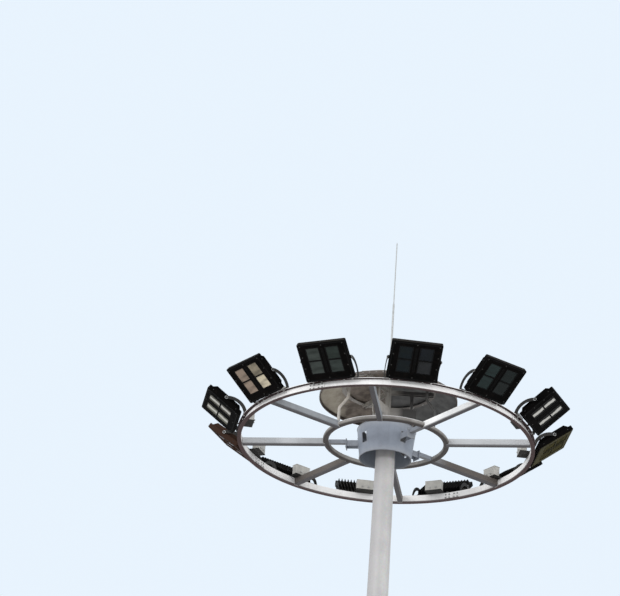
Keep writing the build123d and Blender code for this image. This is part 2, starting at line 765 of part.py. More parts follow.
def pane_places():
    """Places of the four panes on the lamp's face."""
    return GridLocations(PANE_PITCH_X, PANE_PITCH_Y, 2, 2)


# Floodlight housing, drawn with its hinge through the origin and its face up
dish_top = LAMP_FRONT - PANE_SINK - PANE_T
with BuildPart() as housing_form:
    with BuildSketch():
        RectangleRounded(LAMP_WIDTH, LAMP_HEIGHT, LAMP_CORNER)
    extrude(amount=LAMP_FRONT)
    chamfer(housing_form.faces().sort_by(Axis.Z)[-1].edges(), WINDOW_BEVEL)
    with BuildSketch(Plane.XY.offset(dish_top)):
        with Locations((0, PANE_SHIFT_Y)):
            with pane_places():
                Rectangle(PANE_WIDTH, PANE_HEIGHT)
    extrude(amount=LAMP_FRONT - dish_top, mode=Mode.SUBTRACT)
    with BuildSketch(Plane.XY.offset(dish_top)):
        with Locations((0, PANE_SHIFT_Y)):
            with pane_places():
                Rectangle(PANE_WIDTH - 2 * DISH_LEDGE, PANE_HEIGHT - 2 * DISH_LEDGE)
    extrude(amount=-DISH_DEPTH, taper=DISH_TAPER, mode=Mode.SUBTRACT)
    with BuildSketch(Plane.YZ):
        with BuildLine():
            Polyline(
                (-FIN_LENGTH / 2, 0),
                (FIN_LENGTH / 2, 0),
                (FIN_TIP_LENGTH / 2, -FIN_DEPTH),
                (-FIN_TIP_LENGTH / 2, -FIN_DEPTH),
                close=True,
            )
        make_face()
    fin = extrude(amount=FIN_T / 2, both=True)
    with GridLocations(FIN_SPAN / (FIN_COUNT - 1), 0, FIN_COUNT, 1):
        add(fin)
    for side in (-1, 1):
        with BuildSketch(Plane.YZ.offset(side * boss_root)):
            Circle(BOSS_DIA / 2)
        extrude(amount=side * (boss_face - boss_root))
        with BuildSketch(Plane.YZ.offset(side * boss_face)):
            Circle(BOLT_DIA / 2 + BOLT_CLEARANCE)
        extrude(amount=-side * (BOLT_REACH + BOLT_DIA / 2), mode=Mode.SUBTRACT)

# Glass panes, seated on the ledges round the dishes
with BuildPart() as glass_form:
    with BuildSketch(Plane.XY.offset(dish_top)):
        with Locations((0, PANE_SHIFT_Y)):
            with pane_places():
                Rectangle(PANE_WIDTH - 2 * PANE_GAP, PANE_HEIGHT - 2 * PANE_GAP)
    extrude(amount=PANE_T)

pieces = {
    "base_flange": base_flange.part,
    "base_gussets": base_gussets.part,
    "door_frame": door_frame.part,
    "access_door": access_door.part,
    "shaft_lower": shaft_lower.part,
    "shaft_middle": shaft_middle.part,
    "shaft_upper": shaft_upper.part,
    "head_flange": head_flange.part,
    "head_frame": head_frame.part,
    "sheaves": sheaves.part,
    "sheave_pins": sheave_pins.part,
    "lift_ropes": lift_ropes.part,
    "rope_coupler": rope_coupler.part,
    "cover_posts": cover_posts.part,
    "cover_ring": cover_ring.part,
    "docking_horns": docking_horns.part,
    "rain_cover": rain_cover.part,
    "rod_base": rod_base.part,
    "lightning_rod": lightning_rod.part,
    "outer_ring": outer_ring.part,
    "inner_ring": inner_ring.part,
    "spokes": spokes.part,
    "guide_drum": guide_drum.part,
    "guide_arms": guide_arms,
    "guide_rollers": guide_rollers,
    "roller_pins": roller_pins,
    "rope_sockets": rope_sockets.part,
    "lamp_yokes": lamp_yokes.part,
    "hinge_bolts": hinge_bolts.part,
    "driver_boxes": driver_boxes.part,
}

# Twelve floodlights, each a housing and its glass on one hinge plane
for number in range(LAMP_COUNT):
    lamp_name = f"floodlight_{number + 1:02d}"
    with BuildPart(lamp_plane(number)) as housing:
        add(housing_form.part)
    with BuildPart(lamp_plane(number)) as glass:
        add(glass_form.part)
    pieces[f"{lamp_name}_housing"] = housing.part
    pieces[f"{lamp_name}_glass"] = glass.part

os.makedirs("parts", exist_ok=True)
for name, piece in pieces.items():
    piece.label = name
    export_step(piece, f"parts/{name}.step")
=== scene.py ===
"""Looks of a high mast floodlight tower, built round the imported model."""
import math
import random
from itertools import product

import bmesh
import bpy
from mathutils import Matrix, Vector


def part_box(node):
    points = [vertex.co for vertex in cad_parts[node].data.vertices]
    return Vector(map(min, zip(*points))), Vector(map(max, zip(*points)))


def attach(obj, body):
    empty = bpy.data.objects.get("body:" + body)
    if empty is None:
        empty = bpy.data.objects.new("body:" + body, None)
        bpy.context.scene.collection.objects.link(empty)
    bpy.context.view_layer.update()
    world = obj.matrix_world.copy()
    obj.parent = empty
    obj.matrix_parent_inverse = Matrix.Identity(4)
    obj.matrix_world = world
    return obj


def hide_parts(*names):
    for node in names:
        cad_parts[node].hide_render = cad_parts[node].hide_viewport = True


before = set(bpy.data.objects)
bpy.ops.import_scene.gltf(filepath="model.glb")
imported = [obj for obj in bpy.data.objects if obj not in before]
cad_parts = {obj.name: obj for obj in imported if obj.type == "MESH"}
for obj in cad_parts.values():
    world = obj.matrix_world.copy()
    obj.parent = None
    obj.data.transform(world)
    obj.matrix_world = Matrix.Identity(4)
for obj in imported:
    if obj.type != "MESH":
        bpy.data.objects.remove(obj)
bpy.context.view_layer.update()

random.seed(7)

# Driving sizes in metres, +Z up, the front faces -Y, angles in degrees from +X
MAST_HEIGHT = 25.0
BASE_DIA = 0.52
TAPER = 0.012
HEAD_FLANGE_T = 0.02
HEAD_PLATE_T = 0.012
CHEEK_HEIGHT = 0.33
SHEAVE_PIN_RISE = 0.172
RING_DROP = 0.11
RING_R = 1.9
RING_HALF = 0.05
RING_FLANGE = 0.05
RING_T = 0.006
INNER_RING_R = 0.77
INNER_TUBE_R = 0.038
DRUM_TOP = 0.16
DRUM_BOTTOM = -0.24
DRUM_TOP_R = 0.375
DRUM_BOTTOM_R = 0.33
SOCKET_HEIGHT = 0.06
ROPE_END_GAP = 0.0003
FALL_R = 0.335
BORE_R = 0.060
COVER_R = 0.885
COVER_FLAT = 0.08
COVER_LIP = 0.04
COVER_BOLT_R = 0.575
LAMP_OVERHANG = 0.215
LAMP_PIVOT_RISE = 0.228
LAMP_LEAN = math.radians(52)
PANE_X = 0.13

# Places that follow from them
RING_Z = MAST_HEIGHT - RING_DROP
WEB_IN = RING_R - RING_FLANGE
BOX_BASE_Z = MAST_HEIGHT + HEAD_FLANGE_T + HEAD_PLATE_T
CHEEK_TOP_Z = BOX_BASE_Z + CHEEK_HEIGHT
SHEAVE_Z = BOX_BASE_Z + SHEAVE_PIN_RISE
PITCH_R = (FALL_R - BORE_R) / 2
MID_R = (FALL_R + BORE_R) / 2
LAMP_PIVOT_R = RING_R + LAMP_OVERHANG
LAMP_PIVOT_Z = RING_Z + LAMP_PIVOT_RISE

# Turns about the mast axis
BOX_ANGLE = -118
BOX_TURNS = [BOX_ANGLE + 120 * index for index in range(3)]
COVER_BOLT_TURNS = [BOX_ANGLE + 7.5 + 15 * index for index in range(24)]
SPOKE_TURNS = [-97 + 45 * index for index in range(8)]
WINDOW_TURNS = [SPOKE_TURNS[index] for index in (6, 1, 3, 7)]
GUIDE_TURNS = [SPOKE_TURNS[index] for index in (6, 1, 3)]
LAMP_TURNS = [-82 + 30 * index for index in range(12)]
SPLICE_TURNS = (-119, -29, 61, 151)

# Directions
UP = (0.0, 0.0, 1.0)
DOWN = (0.0, 0.0, -1.0)
BACK = (0.0, 1.0, 0.0)
RIGHT = (1.0, 0.0, 0.0)
PAINTED_HIGHLIGHT_FACING = (-0.788, -0.616, 0.0)


# Frames and points

def polar(radius, angle, height):
    """Point at a distance and an angle from the mast axis."""
    turn = math.radians(angle)
    return Vector((radius * math.cos(turn), radius * math.sin(turn), height))


def at_angle(radius, angle, height):
    """Frame whose X points away from the mast axis and whose Z points up."""
    turn = Matrix.Rotation(math.radians(angle), 4, "Z")
    return Matrix.Translation(polar(radius, angle, height)) @ turn


def turned(angle):
    """Frame on the mast axis, turned about it."""
    return at_angle(0, angle, 0)


def facing(point, direction):
    """Frame at a point whose Z looks along a direction."""
    turn = Vector(direction).to_track_quat("Z", "X").to_matrix().to_4x4()
    return Matrix.Translation(Vector(point)) @ turn


def seat_on(base, point, direction):
    """Frame at a point of another frame, its Z along one of that frame's directions."""
    return facing(base @ Vector(point), base.to_3x3() @ Vector(direction))


def circle_points(radius, height, steps):
    """Points of a level circle about the mast axis."""
    return [polar(radius, 360 * step / steps, height) for step in range(steps)]


def round_profile(radius, height, thick):
    """Eight points of a small circle, for a rolled edge turned about the axis."""
    return [
        (radius + thick * math.cos(math.radians(a)), height + thick * math.sin(math.radians(a)))
        for a in range(0, 360, 45)
    ]


# Mesh forms

def lathe(bm, profile, place=None, steps=32, closed=False):
    """Turns (radius, height) points about the local Z axis."""
    place = place or Matrix.Identity(4)
    rings = []
    for radius, height in profile:
        points = circle_points(radius, height, steps) if radius else [Vector((0, 0, height))]
        rings.append([bm.verts.new(place @ point) for point in points])
    for low, high in zip(rings, rings[1:] + rings[:1] if closed else rings[1:]):
        for step in range(steps):
            after = (step + 1) % steps
            if len(low) == 1:
                bm.faces.new((low[0], high[after], high[step]))
            elif len(high) == 1:
                bm.faces.new((low[step], low[after], high[0]))
            else:
                bm.faces.new((low[step], low[after], high[after], high[step]))


def bolt(bm, place, across=0.019, head=0.009, washer=0.013):
    """Hexagon head on a round washer, its seat at the local origin."""
    low = 0.0024
    rim = washer - 0.0006
    lathe(bm, [(0, 0), (washer, 0), (washer, 0.0018), (rim, low), (0, low)], place, 20)
    corner = across / math.sqrt(3)
    top = low + head
    hexagon = [(0, low), (corner, low), (corner, low + head * 0.82), (corner * 0.86, top), (0, top)]
    lathe(bm, hexagon, place, 6)


def nut_and_stud(bm, place, across=0.024, height=0.012, stud=0.008, proud=0.012):
    """Washer, nut and the end of a threaded stud."""
    bolt(bm, place, across, height, across * 0.72)
    low = height
    threads = [(0, low)]
    for turn in range(4):
        threads.append((stud, low + proud * (turn + 0.35) / 4))
        threads.append((stud * 0.86, low + proud * (turn + 0.9) / 4))
    threads.append((0, low + proud))
    lathe(bm, threads, place, 14)


def block(bm, place, size, bevel, segments=2):
    """Rectangular piece with softened edges, centred on the local origin."""
    scale = Matrix.Diagonal((*size, 1.0))
    made = bmesh.ops.create_cube(bm, size=1.0, matrix=scale)["verts"]
    edges = list({edge for vert in made for edge in vert.link_edges})
    result = bmesh.ops.bevel(
        bm, geom=made + edges, offset=bevel, segments=segments, affect="EDGES", profile=0.5
    )
    softened = {vert for face in result["faces"] for vert in face.verts}
    for vert in softened | {vert for vert in made if vert.is_valid}:
        vert.co = place @ vert.co


def sweep(bm, points, radius, sides=10, closed=False):
    """Round tube along a line of points."""
    points = [Vector(point) for point in points]
    count = len(points)
    tangents = []
    for index in range(count):
        ahead = points[(index + 1) % count] if closed or index < count - 1 else points[index]
        behind = points[index - 1] if closed or index > 0 else points[index]
        tangents.append((ahead - behind).normalized())
    side = tangents[0].orthogonal().normalized()
    rings = []
    for index, point in enumerate(points):
        side = (side - tangents[index] * side.dot(tangents[index])).normalized()
        other = tangents[index].cross(side)
        ring = []
        for step in range(sides):
            turn = 2 * math.pi * step / sides
            out = math.cos(turn) * side + math.sin(turn) * other
            ring.append(bm.verts.new(point + radius * out))
        rings.append(ring)
    for low, high in zip(rings, rings[1:] + rings[:1] if closed else rings[1:]):
        shift = 0
        if closed and high is rings[0]:
            gaps = [
                sum((low[s].co - high[(s + k) % sides].co).length for s in range(sides))
                for k in range(sides)
            ]
            shift = gaps.index(min(gaps))
        for step in range(sides):
            after = (step + 1) % sides
            far, near = high[(after + shift) % sides], high[(step + shift) % sides]
            bm.faces.new((low[step], low[after], far, near))
    if not closed:
        bm.faces.new(rings[0][::-1])
        bm.faces.new(rings[-1])


def bead(bm, points, radius, closed=False):
    """Weld bead: a rope of small ripples along a line of points."""
    points = [Vector(point) for point in points]
    path = []
    total = len(points) if closed else len(points) - 1
    for index in range(total):
        start, end = points[index], points[(index + 1) % len(points)]
        steps = max(1, round((end - start).length / (radius * 1.3)))
        for step in range(steps):
            path.append(start.lerp(end, step / steps))
    if not closed:
        path.append(points[-1])
    first = len(bm.verts)
    sweep(bm, path, radius, 6, closed)
    bm.verts.ensure_lookup_table()
    for ring, centre in enumerate(path):
        swell = 1.0 + 0.16 * (1 if ring % 2 else -1) + random.uniform(-0.06, 0.06)
        for vert in bm.verts[first + ring * 6:first + ring * 6 + 6]:
            vert.co = centre + (vert.co - centre) * swell


def rectangle_ring(bm, half_x, half_y, z, centre, radius, around=5):
    """Vertices of a rectangle with rounded corners, anticlockwise."""
    made = []
    for corner in range(4):
        sign_x = 1 if corner in (0, 3) else -1
        sign_y = 1 if corner in (0, 1) else -1
        for step in range(around):
            turn = math.radians(90 * corner + 90 * step / (around - 1))
            made.append(bm.verts.new((
                centre[0] + sign_x * (half_x - radius) + radius * math.cos(turn),
                centre[1] + sign_y * (half_y - radius) + radius * math.sin(turn), z,
            )))
    return made


def join_rings(bm, rings):
    """Faces between each ring of vertices and the next."""
    for low, high in zip(rings, rings[1:]):
        for step in range(len(low)):
            after = (step + 1) % len(low)
            bm.faces.new((low[step], low[after], high[after], high[step]))


def as_mesh(name, bm, material):
    """Closes a bmesh into shared mesh data with smooth faces and sharp corners."""
    bmesh.ops.recalc_face_normals(bm, faces=bm.faces[:])
    mesh = bpy.data.meshes.new(name)
    bm.to_mesh(mesh)
    bm.free()
    for face in mesh.polygons:
        face.use_smooth = True
    mesh.set_sharp_from_angle(angle=math.radians(38))
    mesh.materials.append(material)
    return mesh


def place_mesh(name, mesh, body, matrix=None):
    """Object of a mesh that rides on a body."""
    made = bpy.data.objects.new(name, mesh)
    bpy.context.scene.collection.objects.link(made)
    if matrix is not None:
        made.matrix_world = matrix
        bpy.context.view_layer.update()
    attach(made, body)
    return made


def piece(name, bm, material, body):
    """Object straight from a bmesh."""
    return place_mesh(name, as_mesh(name, bm, material), body)


# Shader nodes

def node(tree, kind, inputs=None, **props):
    """Adds a shader node; a socket as a value is linked, and a colour is given as three numbers."""
    made = tree.nodes.new("ShaderNode" + kind)
    for key, value in props.items():
        setattr(made, key, value)
    for key, value in (inputs or {}).items():
        socket = made.inputs[key]
        if isinstance(value, bpy.types.NodeSocket):
            tree.links.new(value, socket)
        else:
            socket.default_value = (*value, 1.0) if socket.type == "RGBA" else value
    return made


def grade(tree, value, low, high, out_low=0.0, out_high=1.0):
    """Maps a range of values to another."""
    ends = {"From Min": low, "From Max": high, "To Min": out_low, "To Max": out_high}
    return node(tree, "MapRange", {"Value": value, **ends}).outputs["Result"]


def calc(tree, operation, first, second=0.0):
    """Result of one sum."""
    return node(tree, "Math", {0: first, 1: second}, operation=operation).outputs["Value"]


def reach(tree, source, direction):
    """How far a vector goes along a direction."""
    made = node(tree, "VectorMath", {0: source, 1: direction}, operation="DOT_PRODUCT")
    return made.outputs["Value"]


def noise(tree, coords, scale, detail=2.0, roughness=0.5, stretch=None):
    """Fractal noise, in stretched coordinates where asked."""
    if stretch:
        stretched = node(tree, "Mapping", {"Vector": coords, "Scale": stretch})
        coords = stretched.outputs["Vector"]
    made = node(
        tree, "TexNoise",
        {"Vector": coords, "Scale": scale, "Detail": detail, "Roughness": roughness},
    )
    return made.outputs["Fac"]


def mix(tree, share, first, second, blend="MIX"):
    """Mixes two colours."""
    inputs = {0: share, 6: first, 7: second}
    return node(tree, "Mix", inputs, data_type="RGBA", blend_type=blend).outputs[2]


def off_white(tree, value):
    """Grey that wanders a little round white, for multiplying."""
    ramp = node(tree, "ValToRGB", {"Fac": value})
    dark, pale = ramp.color_ramp.elements
    dark.position, dark.color = 0.3, (0.72, 0.72, 0.72, 1)
    pale.position, pale.color = 0.62, (1, 1, 1, 1)
    return ramp.outputs["Color"]


def bumps(tree, height, strength, distance):
    """Normal that follows a height."""
    inputs = {"Strength": strength, "Distance": distance, "Height": height}
    return node(tree, "Bump", inputs).outputs["Normal"]


def new_material(name):
    """Material whose node tree holds nothing but its coordinates."""
    made = bpy.data.materials.new(name)
    made.use_nodes = True
    tree = made.node_tree
    tree.nodes.clear()
    return made, tree, node(tree, "TexCoord").outputs["Object"]


def close_material(tree, shader):
    """Joins a shader to the output of its tree."""
    output = tree.nodes.new("ShaderNodeOutputMaterial")
    tree.links.new(shader, output.inputs["Surface"])


def close_principled(tree, inputs):
    """Ends a tree with one shader and its inputs."""
    close_material(tree, node(tree, "BsdfPrincipled", inputs).outputs["BSDF"])


# Materials

def weathered(name, pale, deep, grime, zones=(), metallic=0.0, rough=(0.45, 0.65), patch=2.0,
              streak=0.3, streak_scale=14.0, grain=0.2, pit=160.0, wear=0.0,
              wear_colour=(0.55, 0.54, 0.52), specks=0.0, gloss=0.5):
    """Outdoor metal or plastic: patches, runs of dirt, fine grain, worn edges.

    Each zone (what, direction, low, high, tone, share) tints where the surface's normal or place
    reaches along a direction; zones paint shade and highlights, dust, or a darker or lighter far
    side.
    """
    made, tree, coords = new_material(name)
    geometry = node(tree, "NewGeometry").outputs
    patches = noise(tree, coords, patch, 6.0, 0.62)
    colour = mix(tree, grade(tree, patches, 0.36, 0.66), pale, deep)
    runs = noise(
        tree, coords, 1.0, 5.0, 0.55, stretch=(streak_scale, streak_scale, streak_scale * 0.07)
    )
    colour = mix(tree, grade(tree, runs, 0.5, 0.78, 0.0, streak), colour, grime)
    fine = noise(tree, coords, pit, 3.0, 0.7)
    colour = mix(tree, 0.35, colour, off_white(tree, fine), "MULTIPLY")
    if specks:
        spots = node(tree, "TexVoronoi", {"Vector": coords, "Scale": 38.0, "Randomness": 1.0})
        near = grade(tree, spots.outputs["Distance"], 0.16, 0.06, 0.0, specks)
        colour = mix(tree, near, colour, grime)
    if wear:
        edge = grade(tree, geometry["Pointiness"], 0.52, 0.6, 0.0, wear)
        colour = mix(tree, edge, colour, wear_colour)
    for what, direction, low, high, tone, share in zones:
        source = geometry["Normal"] if what == "normal" else coords
        zone = grade(tree, reach(tree, source, direction), low, high, 0.0, share)
        colour = mix(tree, zone, colour, tone)
    close_principled(tree, {
        "Base Color": colour, "Roughness": grade(tree, patches, 0.3, 0.7, rough[0], rough[1]),
        "Metallic": metallic, "Normal": bumps(tree, fine, grain, 0.0012),
        "Specular IOR Level": gloss,
    })
    return made


def shaft_material():
    """Galvanised steel: spangle, dull patches, faint runs, painted shade on the front-left side, a
    splashed foot.
    """
    made, tree, coords = new_material("galvanised_shaft")
    normal = node(tree, "NewGeometry").outputs["Normal"]
    spangle = node(tree, "TexVoronoi", {"Vector": coords, "Scale": 55.0}, feature="F1").outputs
    cloud = noise(tree, coords, 3.2, 6.0, 0.6)
    patches = grade(tree, cloud, 0.35, 0.68)
    colour = mix(tree, patches, (0.45, 0.44, 0.43), (0.385, 0.377, 0.372))
    colour = mix(tree, 0.10, colour, spangle["Color"], "SOFT_LIGHT")
    runs = noise(tree, coords, 1.0, 4.0, stretch=(18.0, 18.0, 0.5))
    colour = mix(tree, grade(tree, runs, 0.52, 0.75, 0.0, 0.3), colour, (0.32, 0.31, 0.31))
    # painted shade: faces turned to the front left are darkened
    left = grade(tree, reach(tree, normal, (-0.72, -0.69, 0.0)), 0.4, 0.95, 0.0, 0.6)
    colour = mix(tree, left, colour, (0.36, 0.345, 0.35))
    uneven = grade(tree, runs, 0.35, 0.65, -0.35, 0.35)
    splash = calc(tree, "ADD", reach(tree, coords, UP), uneven)
    colour = mix(tree, grade(tree, splash, 0.75, 0.05, 0.0, 0.55), colour, (0.20, 0.17, 0.14))
    close_principled(tree, {
        "Base Color": colour, "Metallic": 0.15, "Normal": bumps(tree, cloud, 0.08, 0.001),
        "Roughness": grade(tree, spangle["Distance"], 0.0, 0.8, 0.42, 0.6),
    })
    return made


def cover_material(edge_z):
    """Rain cover, pale outside, mottled inside: tan to the left as painted bounce light, dark to
    the right as painted shade, and dark at the rim.
    """
    made, tree, coords = new_material("cover_laminate")
    blotch = noise(tree, coords, 7.0, 8.0, 0.68)
    fine = noise(tree, coords, 130.0, 3.0)

    def mottled(low, high, pale, deep):
        return mix(tree, grade(tree, blotch, low, high), pale, deep)

    tan = mottled(0.36, 0.66, (0.46, 0.415, 0.335), (0.34, 0.295, 0.235))
    brown = mottled(0.38, 0.6, (0.20, 0.16, 0.13), (0.095, 0.075, 0.06))
    dark = mottled(0.4, 0.64, (0.10, 0.099, 0.097), (0.065, 0.064, 0.063))
    outside = mottled(0.4, 0.7, (0.56, 0.55, 0.52), (0.40, 0.38, 0.35))
    # painted light and shade inside: a bounce-lit tan to the left, through brown, to painted shade
    # at the right
    uneven = grade(tree, blotch, 0, 1, -0.12, 0.12)
    across = calc(tree, "ADD", reach(tree, coords, RIGHT), uneven)
    inside = mix(tree, grade(tree, across, -0.68, -0.5), tan, brown)
    inside = mix(tree, grade(tree, across, -0.12, 0.05), inside, dark)
    turned_up = reach(tree, node(tree, "NewGeometry").outputs["Normal"], UP)
    colour = mix(tree, grade(tree, turned_up, 0.05, -0.25), outside, inside)
    rim = grade(tree, reach(tree, coords, UP), edge_z + 0.007, edge_z - 0.002)
    colour = mix(tree, rim, colour, (0.075, 0.06, 0.05))
    colour = mix(tree, 0.3, colour, off_white(tree, fine), "MULTIPLY")
    close_principled(tree, {
        "Base Color": colour, "Normal": bumps(tree, fine, 0.25, 0.0015),
        "Roughness": grade(tree, blotch, 0.3, 0.7, 0.55, 0.8),
    })
    return made


def glass_material(name, at, left, right, lower, streak=0.0, gloss=0.08):
    """Dusty tempered glass with a painted reflection of a different tone in each column of panes.
    """
    made, tree, coords = new_material(name)
    sides = {0: coords, 1: at.to_translation()}
    from_hinge = node(tree, "VectorMath", sides, operation="SUBTRACT").outputs["Vector"]
    across, upward = (reach(tree, from_hinge, at.col[axis].to_3d()) for axis in (0, 1))
    # painted reflection: a tone for each column of panes and one for the lower right pane
    on_right = grade(tree, across, -0.01, 0.01)
    low_right = calc(tree, "MULTIPLY", on_right, grade(tree, upward, 0.022, 0.018))
    tone = mix(tree, low_right, mix(tree, on_right, left, right), lower)
    dust = noise(tree, coords, 9.0, 7.0, 0.65)
    bands = noise(tree, coords, 1.6, stretch=(3.0, 3.0, 14.0))
    tone = mix(tree, grade(tree, bands, 0.45, 0.7, 0.0, 0.5), tone, (0.008, 0.01, 0.009))
    tone = mix(tree, grade(tree, dust, 0.5, 0.8, 0.0, 0.5), tone, (1.5, 1.5, 1.5), "MULTIPLY")
    # painted highlight: a pale streak down the middle of each column of panes
    if streak:
        side = calc(tree, "ABSOLUTE", across)
        wave = calc(tree, "ADD", side, grade(tree, dust, 0.3, 0.7, -0.015, 0.015))
        off = calc(tree, "ABSOLUTE", calc(tree, "SUBTRACT", wave, PANE_X))
        tone = mix(tree, grade(tree, off, 0.034, 0.022, 0.0, streak), tone, (0.62, 0.61, 0.57))
    close_principled(tree, {
        "Base Color": tone, "Roughness": grade(tree, dust, 0.35, 0.75, 0.06, 0.28),
        "Alpha": grade(tree, dust, 0.4, 0.8, 0.955, 0.985), "Specular IOR Level": gloss,
    })
    return made


def reflector_material():
    """Brushed aluminium of the reflectors."""
    made, tree, coords = new_material("reflector_aluminium")
    cloud = noise(tree, coords, 16.0, 5.0, 0.6)
    brushed = noise(tree, coords, 1.0, stretch=(260.0, 9.0, 9.0))
    colour = mix(tree, grade(tree, cloud, 0.35, 0.7), (0.52, 0.52, 0.50), (0.34, 0.33, 0.31))
    close_principled(tree, {
        "Base Color": colour, "Metallic": 0.7, "Normal": bumps(tree, brushed, 0.1, 0.0006),
        "Roughness": grade(tree, brushed, 0.3, 0.7, 0.22, 0.4),
    })
    return made


def housing_coat(name, zone, wear=0.0):
    """Near-black powder coat of the floodlight housings, with one tinted zone: dust on top, or a
    painted glare.
    """
    return weathered(
        name, (0.0035, 0.003, 0.003), (0.002, 0.002, 0.002), (0.012, 0.009, 0.007),
        zones=[zone], rough=(0.5, 0.7), patch=7.0, streak=0.3, streak_scale=30.0, grain=0.35,
        pit=520.0, wear=wear, wear_colour=(0.022, 0.021, 0.02), gloss=0.015,
    )


def dress(solid, look):
    """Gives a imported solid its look."""
    for material_slot in solid.material_slots:
        material_slot.material = look
    if not solid.material_slots:
        solid.data.materials.append(look)


cover_low, cover_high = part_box("rain_cover")
COVER_EDGE = cover_low.z + COVER_LIP

shaft_steel = shaft_material()
frame_steel = weathered(
    "frame_steel_dirty_painted_shade", (0.50, 0.465, 0.42), (0.32, 0.29, 0.255), (0.15, 0.12, 0.095),
    zones=[
        # painted shade: the right half is darkened almost to black
        ("place", RIGHT, 0.0, 0.2, (0.04, 0.038, 0.037), 0.97),
        # painted shade on faces turned down
        ("normal", DOWN, 0.3, 0.9, (0.17, 0.15, 0.135), 0.6),
    ],
    rough=(0.5, 0.75), patch=9.0, streak=0.5, streak_scale=22.0, wear=0.4, specks=0.35,
)
sheave_iron = weathered(
    "sheave_iron_oxide", (0.26, 0.215, 0.18), (0.17, 0.135, 0.11), (0.09, 0.06, 0.045),
    metallic=0.25, rough=(0.5, 0.8), patch=22.0, streak=0.35, grain=0.35, pit=260.0, wear=0.5,
)
bare_steel = weathered(
    "zinc_plated_steel", (0.50, 0.50, 0.49), (0.36, 0.355, 0.34), (0.22, 0.19, 0.165),
    metallic=0.6, rough=(0.36, 0.55), patch=35.0, streak_scale=50.0, grain=0.12, pit=400.0,
)
dark_steel = weathered(
    "blackened_steel", (0.03, 0.029, 0.028), (0.018, 0.017, 0.016), (0.05, 0.042, 0.035),
    metallic=0.2, patch=35.0, streak_scale=50.0, grain=0.15, pit=400.0, wear=0.3,
    wear_colour=(0.12, 0.12, 0.115), gloss=0.1,
)
wire_rope = weathered(
    "wire_rope_greased", (0.42, 0.41, 0.39), (0.24, 0.23, 0.21), (0.10, 0.085, 0.07),
    metallic=0.6, rough=(0.35, 0.6), patch=30.0, streak_scale=60.0, grain=0.25, pit=700.0,
)
cover_shell = cover_material(COVER_EDGE)
ring_paint = weathered(
    "ring_white_stained_painted_shade", (0.94, 0.935, 0.935), (0.84, 0.83, 0.825), (0.46, 0.40, 0.37),
    zones=[
        # painted shade on faces turned down
        ("normal", DOWN, 0.25, 0.8, (0.05, 0.032, 0.034), 1.0),
        # painted shade along the lowest part of the ring
        ("place", DOWN, 0.026 - RING_Z, 0.036 - RING_Z, (0.07, 0.045, 0.045), 0.92),
    ],
    rough=(0.4, 0.6), patch=3.0, streak=0.2, streak_scale=20.0, wear=0.1,
    wear_colour=(0.4, 0.38, 0.37), specks=0.1, gloss=0.05,
)
spoke_paint = weathered(
    "spoke_blue_grey", (0.30, 0.325, 0.36), (0.245, 0.265, 0.295), (0.16, 0.155, 0.16),
    zones=[
        # painted highlight on faces turned to the light
        ("normal", PAINTED_HIGHLIGHT_FACING, 0.6, 0.95, (0.95, 0.95, 0.95), 0.95),
        ("place", BACK, 0.35, 0.6, (0.125, 0.11, 0.10), 1.0),
        # painted shade on faces turned down
        ("normal", DOWN, 0.25, 0.8, (0.035, 0.03, 0.034), 1.0),
        # painted shade along the lowest part of the spokes
        ("place", DOWN, 0.024 - RING_Z, 0.034 - RING_Z, (0.09, 0.085, 0.09), 0.8),
    ],
    rough=(0.4, 0.6), patch=4.0, streak_scale=24.0, wear=0.2, specks=0.15, gloss=0.1,
)
inner_ring_paint = weathered(
    "inner_tube_dirty_painted_light", (0.36, 0.345, 0.33), (0.24, 0.225, 0.21), (0.12, 0.10, 0.09),
    zones=[
        ("place", BACK, 0.2, 0.6, (0.50, 0.48, 0.45), 0.8),
        # painted highlight on faces turned up
        ("normal", DOWN, -0.45, -0.75, (0.92, 0.92, 0.92), 0.9),
        # painted shade on faces turned down
        ("normal", DOWN, 0.2, 0.7, (0.06, 0.052, 0.05), 0.95),
    ],
    rough=(0.45, 0.7), patch=5.0, streak=0.4, specks=0.25, gloss=0.1,
)
drum_paint = weathered(
    "drum_blue_grey", (0.275, 0.305, 0.36), (0.24, 0.265, 0.315), (0.15, 0.155, 0.17),
    # painted shade on faces turned down
    zones=[("normal", DOWN, 0.6, 0.95, (0.12, 0.12, 0.125), 0.8)], rough=(0.38, 0.58),
    patch=6.0, streak=0.2, streak_scale=24.0, wear=0.2, specks=0.08, gloss=0.2,
)
roller_plastic = weathered(
    "roller_nylon_black", (0.05, 0.05, 0.052), (0.035, 0.035, 0.037), (0.10, 0.095, 0.09),
    rough=(0.4, 0.6), patch=20.0, streak=0.2, grain=0.15, pit=300.0, wear=0.3,
    wear_colour=(0.16, 0.16, 0.16), gloss=0.3,
)
yoke_paint = weathered(
    "yoke_black_coat", (0.010, 0.0095, 0.009), (0.006, 0.006, 0.006), (0.04, 0.034, 0.03),
    rough=(0.5, 0.7), patch=12.0, grain=0.3, pit=420.0, wear=0.3,
    wear_colour=(0.08, 0.078, 0.075), gloss=0.06,
)
driver_paint = weathered(
    "driver_cast_grey", (0.40, 0.385, 0.345), (0.31, 0.295, 0.26), (0.15, 0.125, 0.10),
    # painted shade on faces turned down
    metallic=0.1, zones=[("normal", DOWN, 0.25, 0.8, (0.10, 0.09, 0.085), 0.85)],
    rough=(0.42, 0.6), patch=10.0, streak=0.35, grain=0.3, pit=300.0, wear=0.35,
)
housing_black = housing_coat(
    "housing_black_coat", ("normal", UP, 0.35, 0.95, (0.042, 0.038, 0.033), 0.85), wear=0.2
)
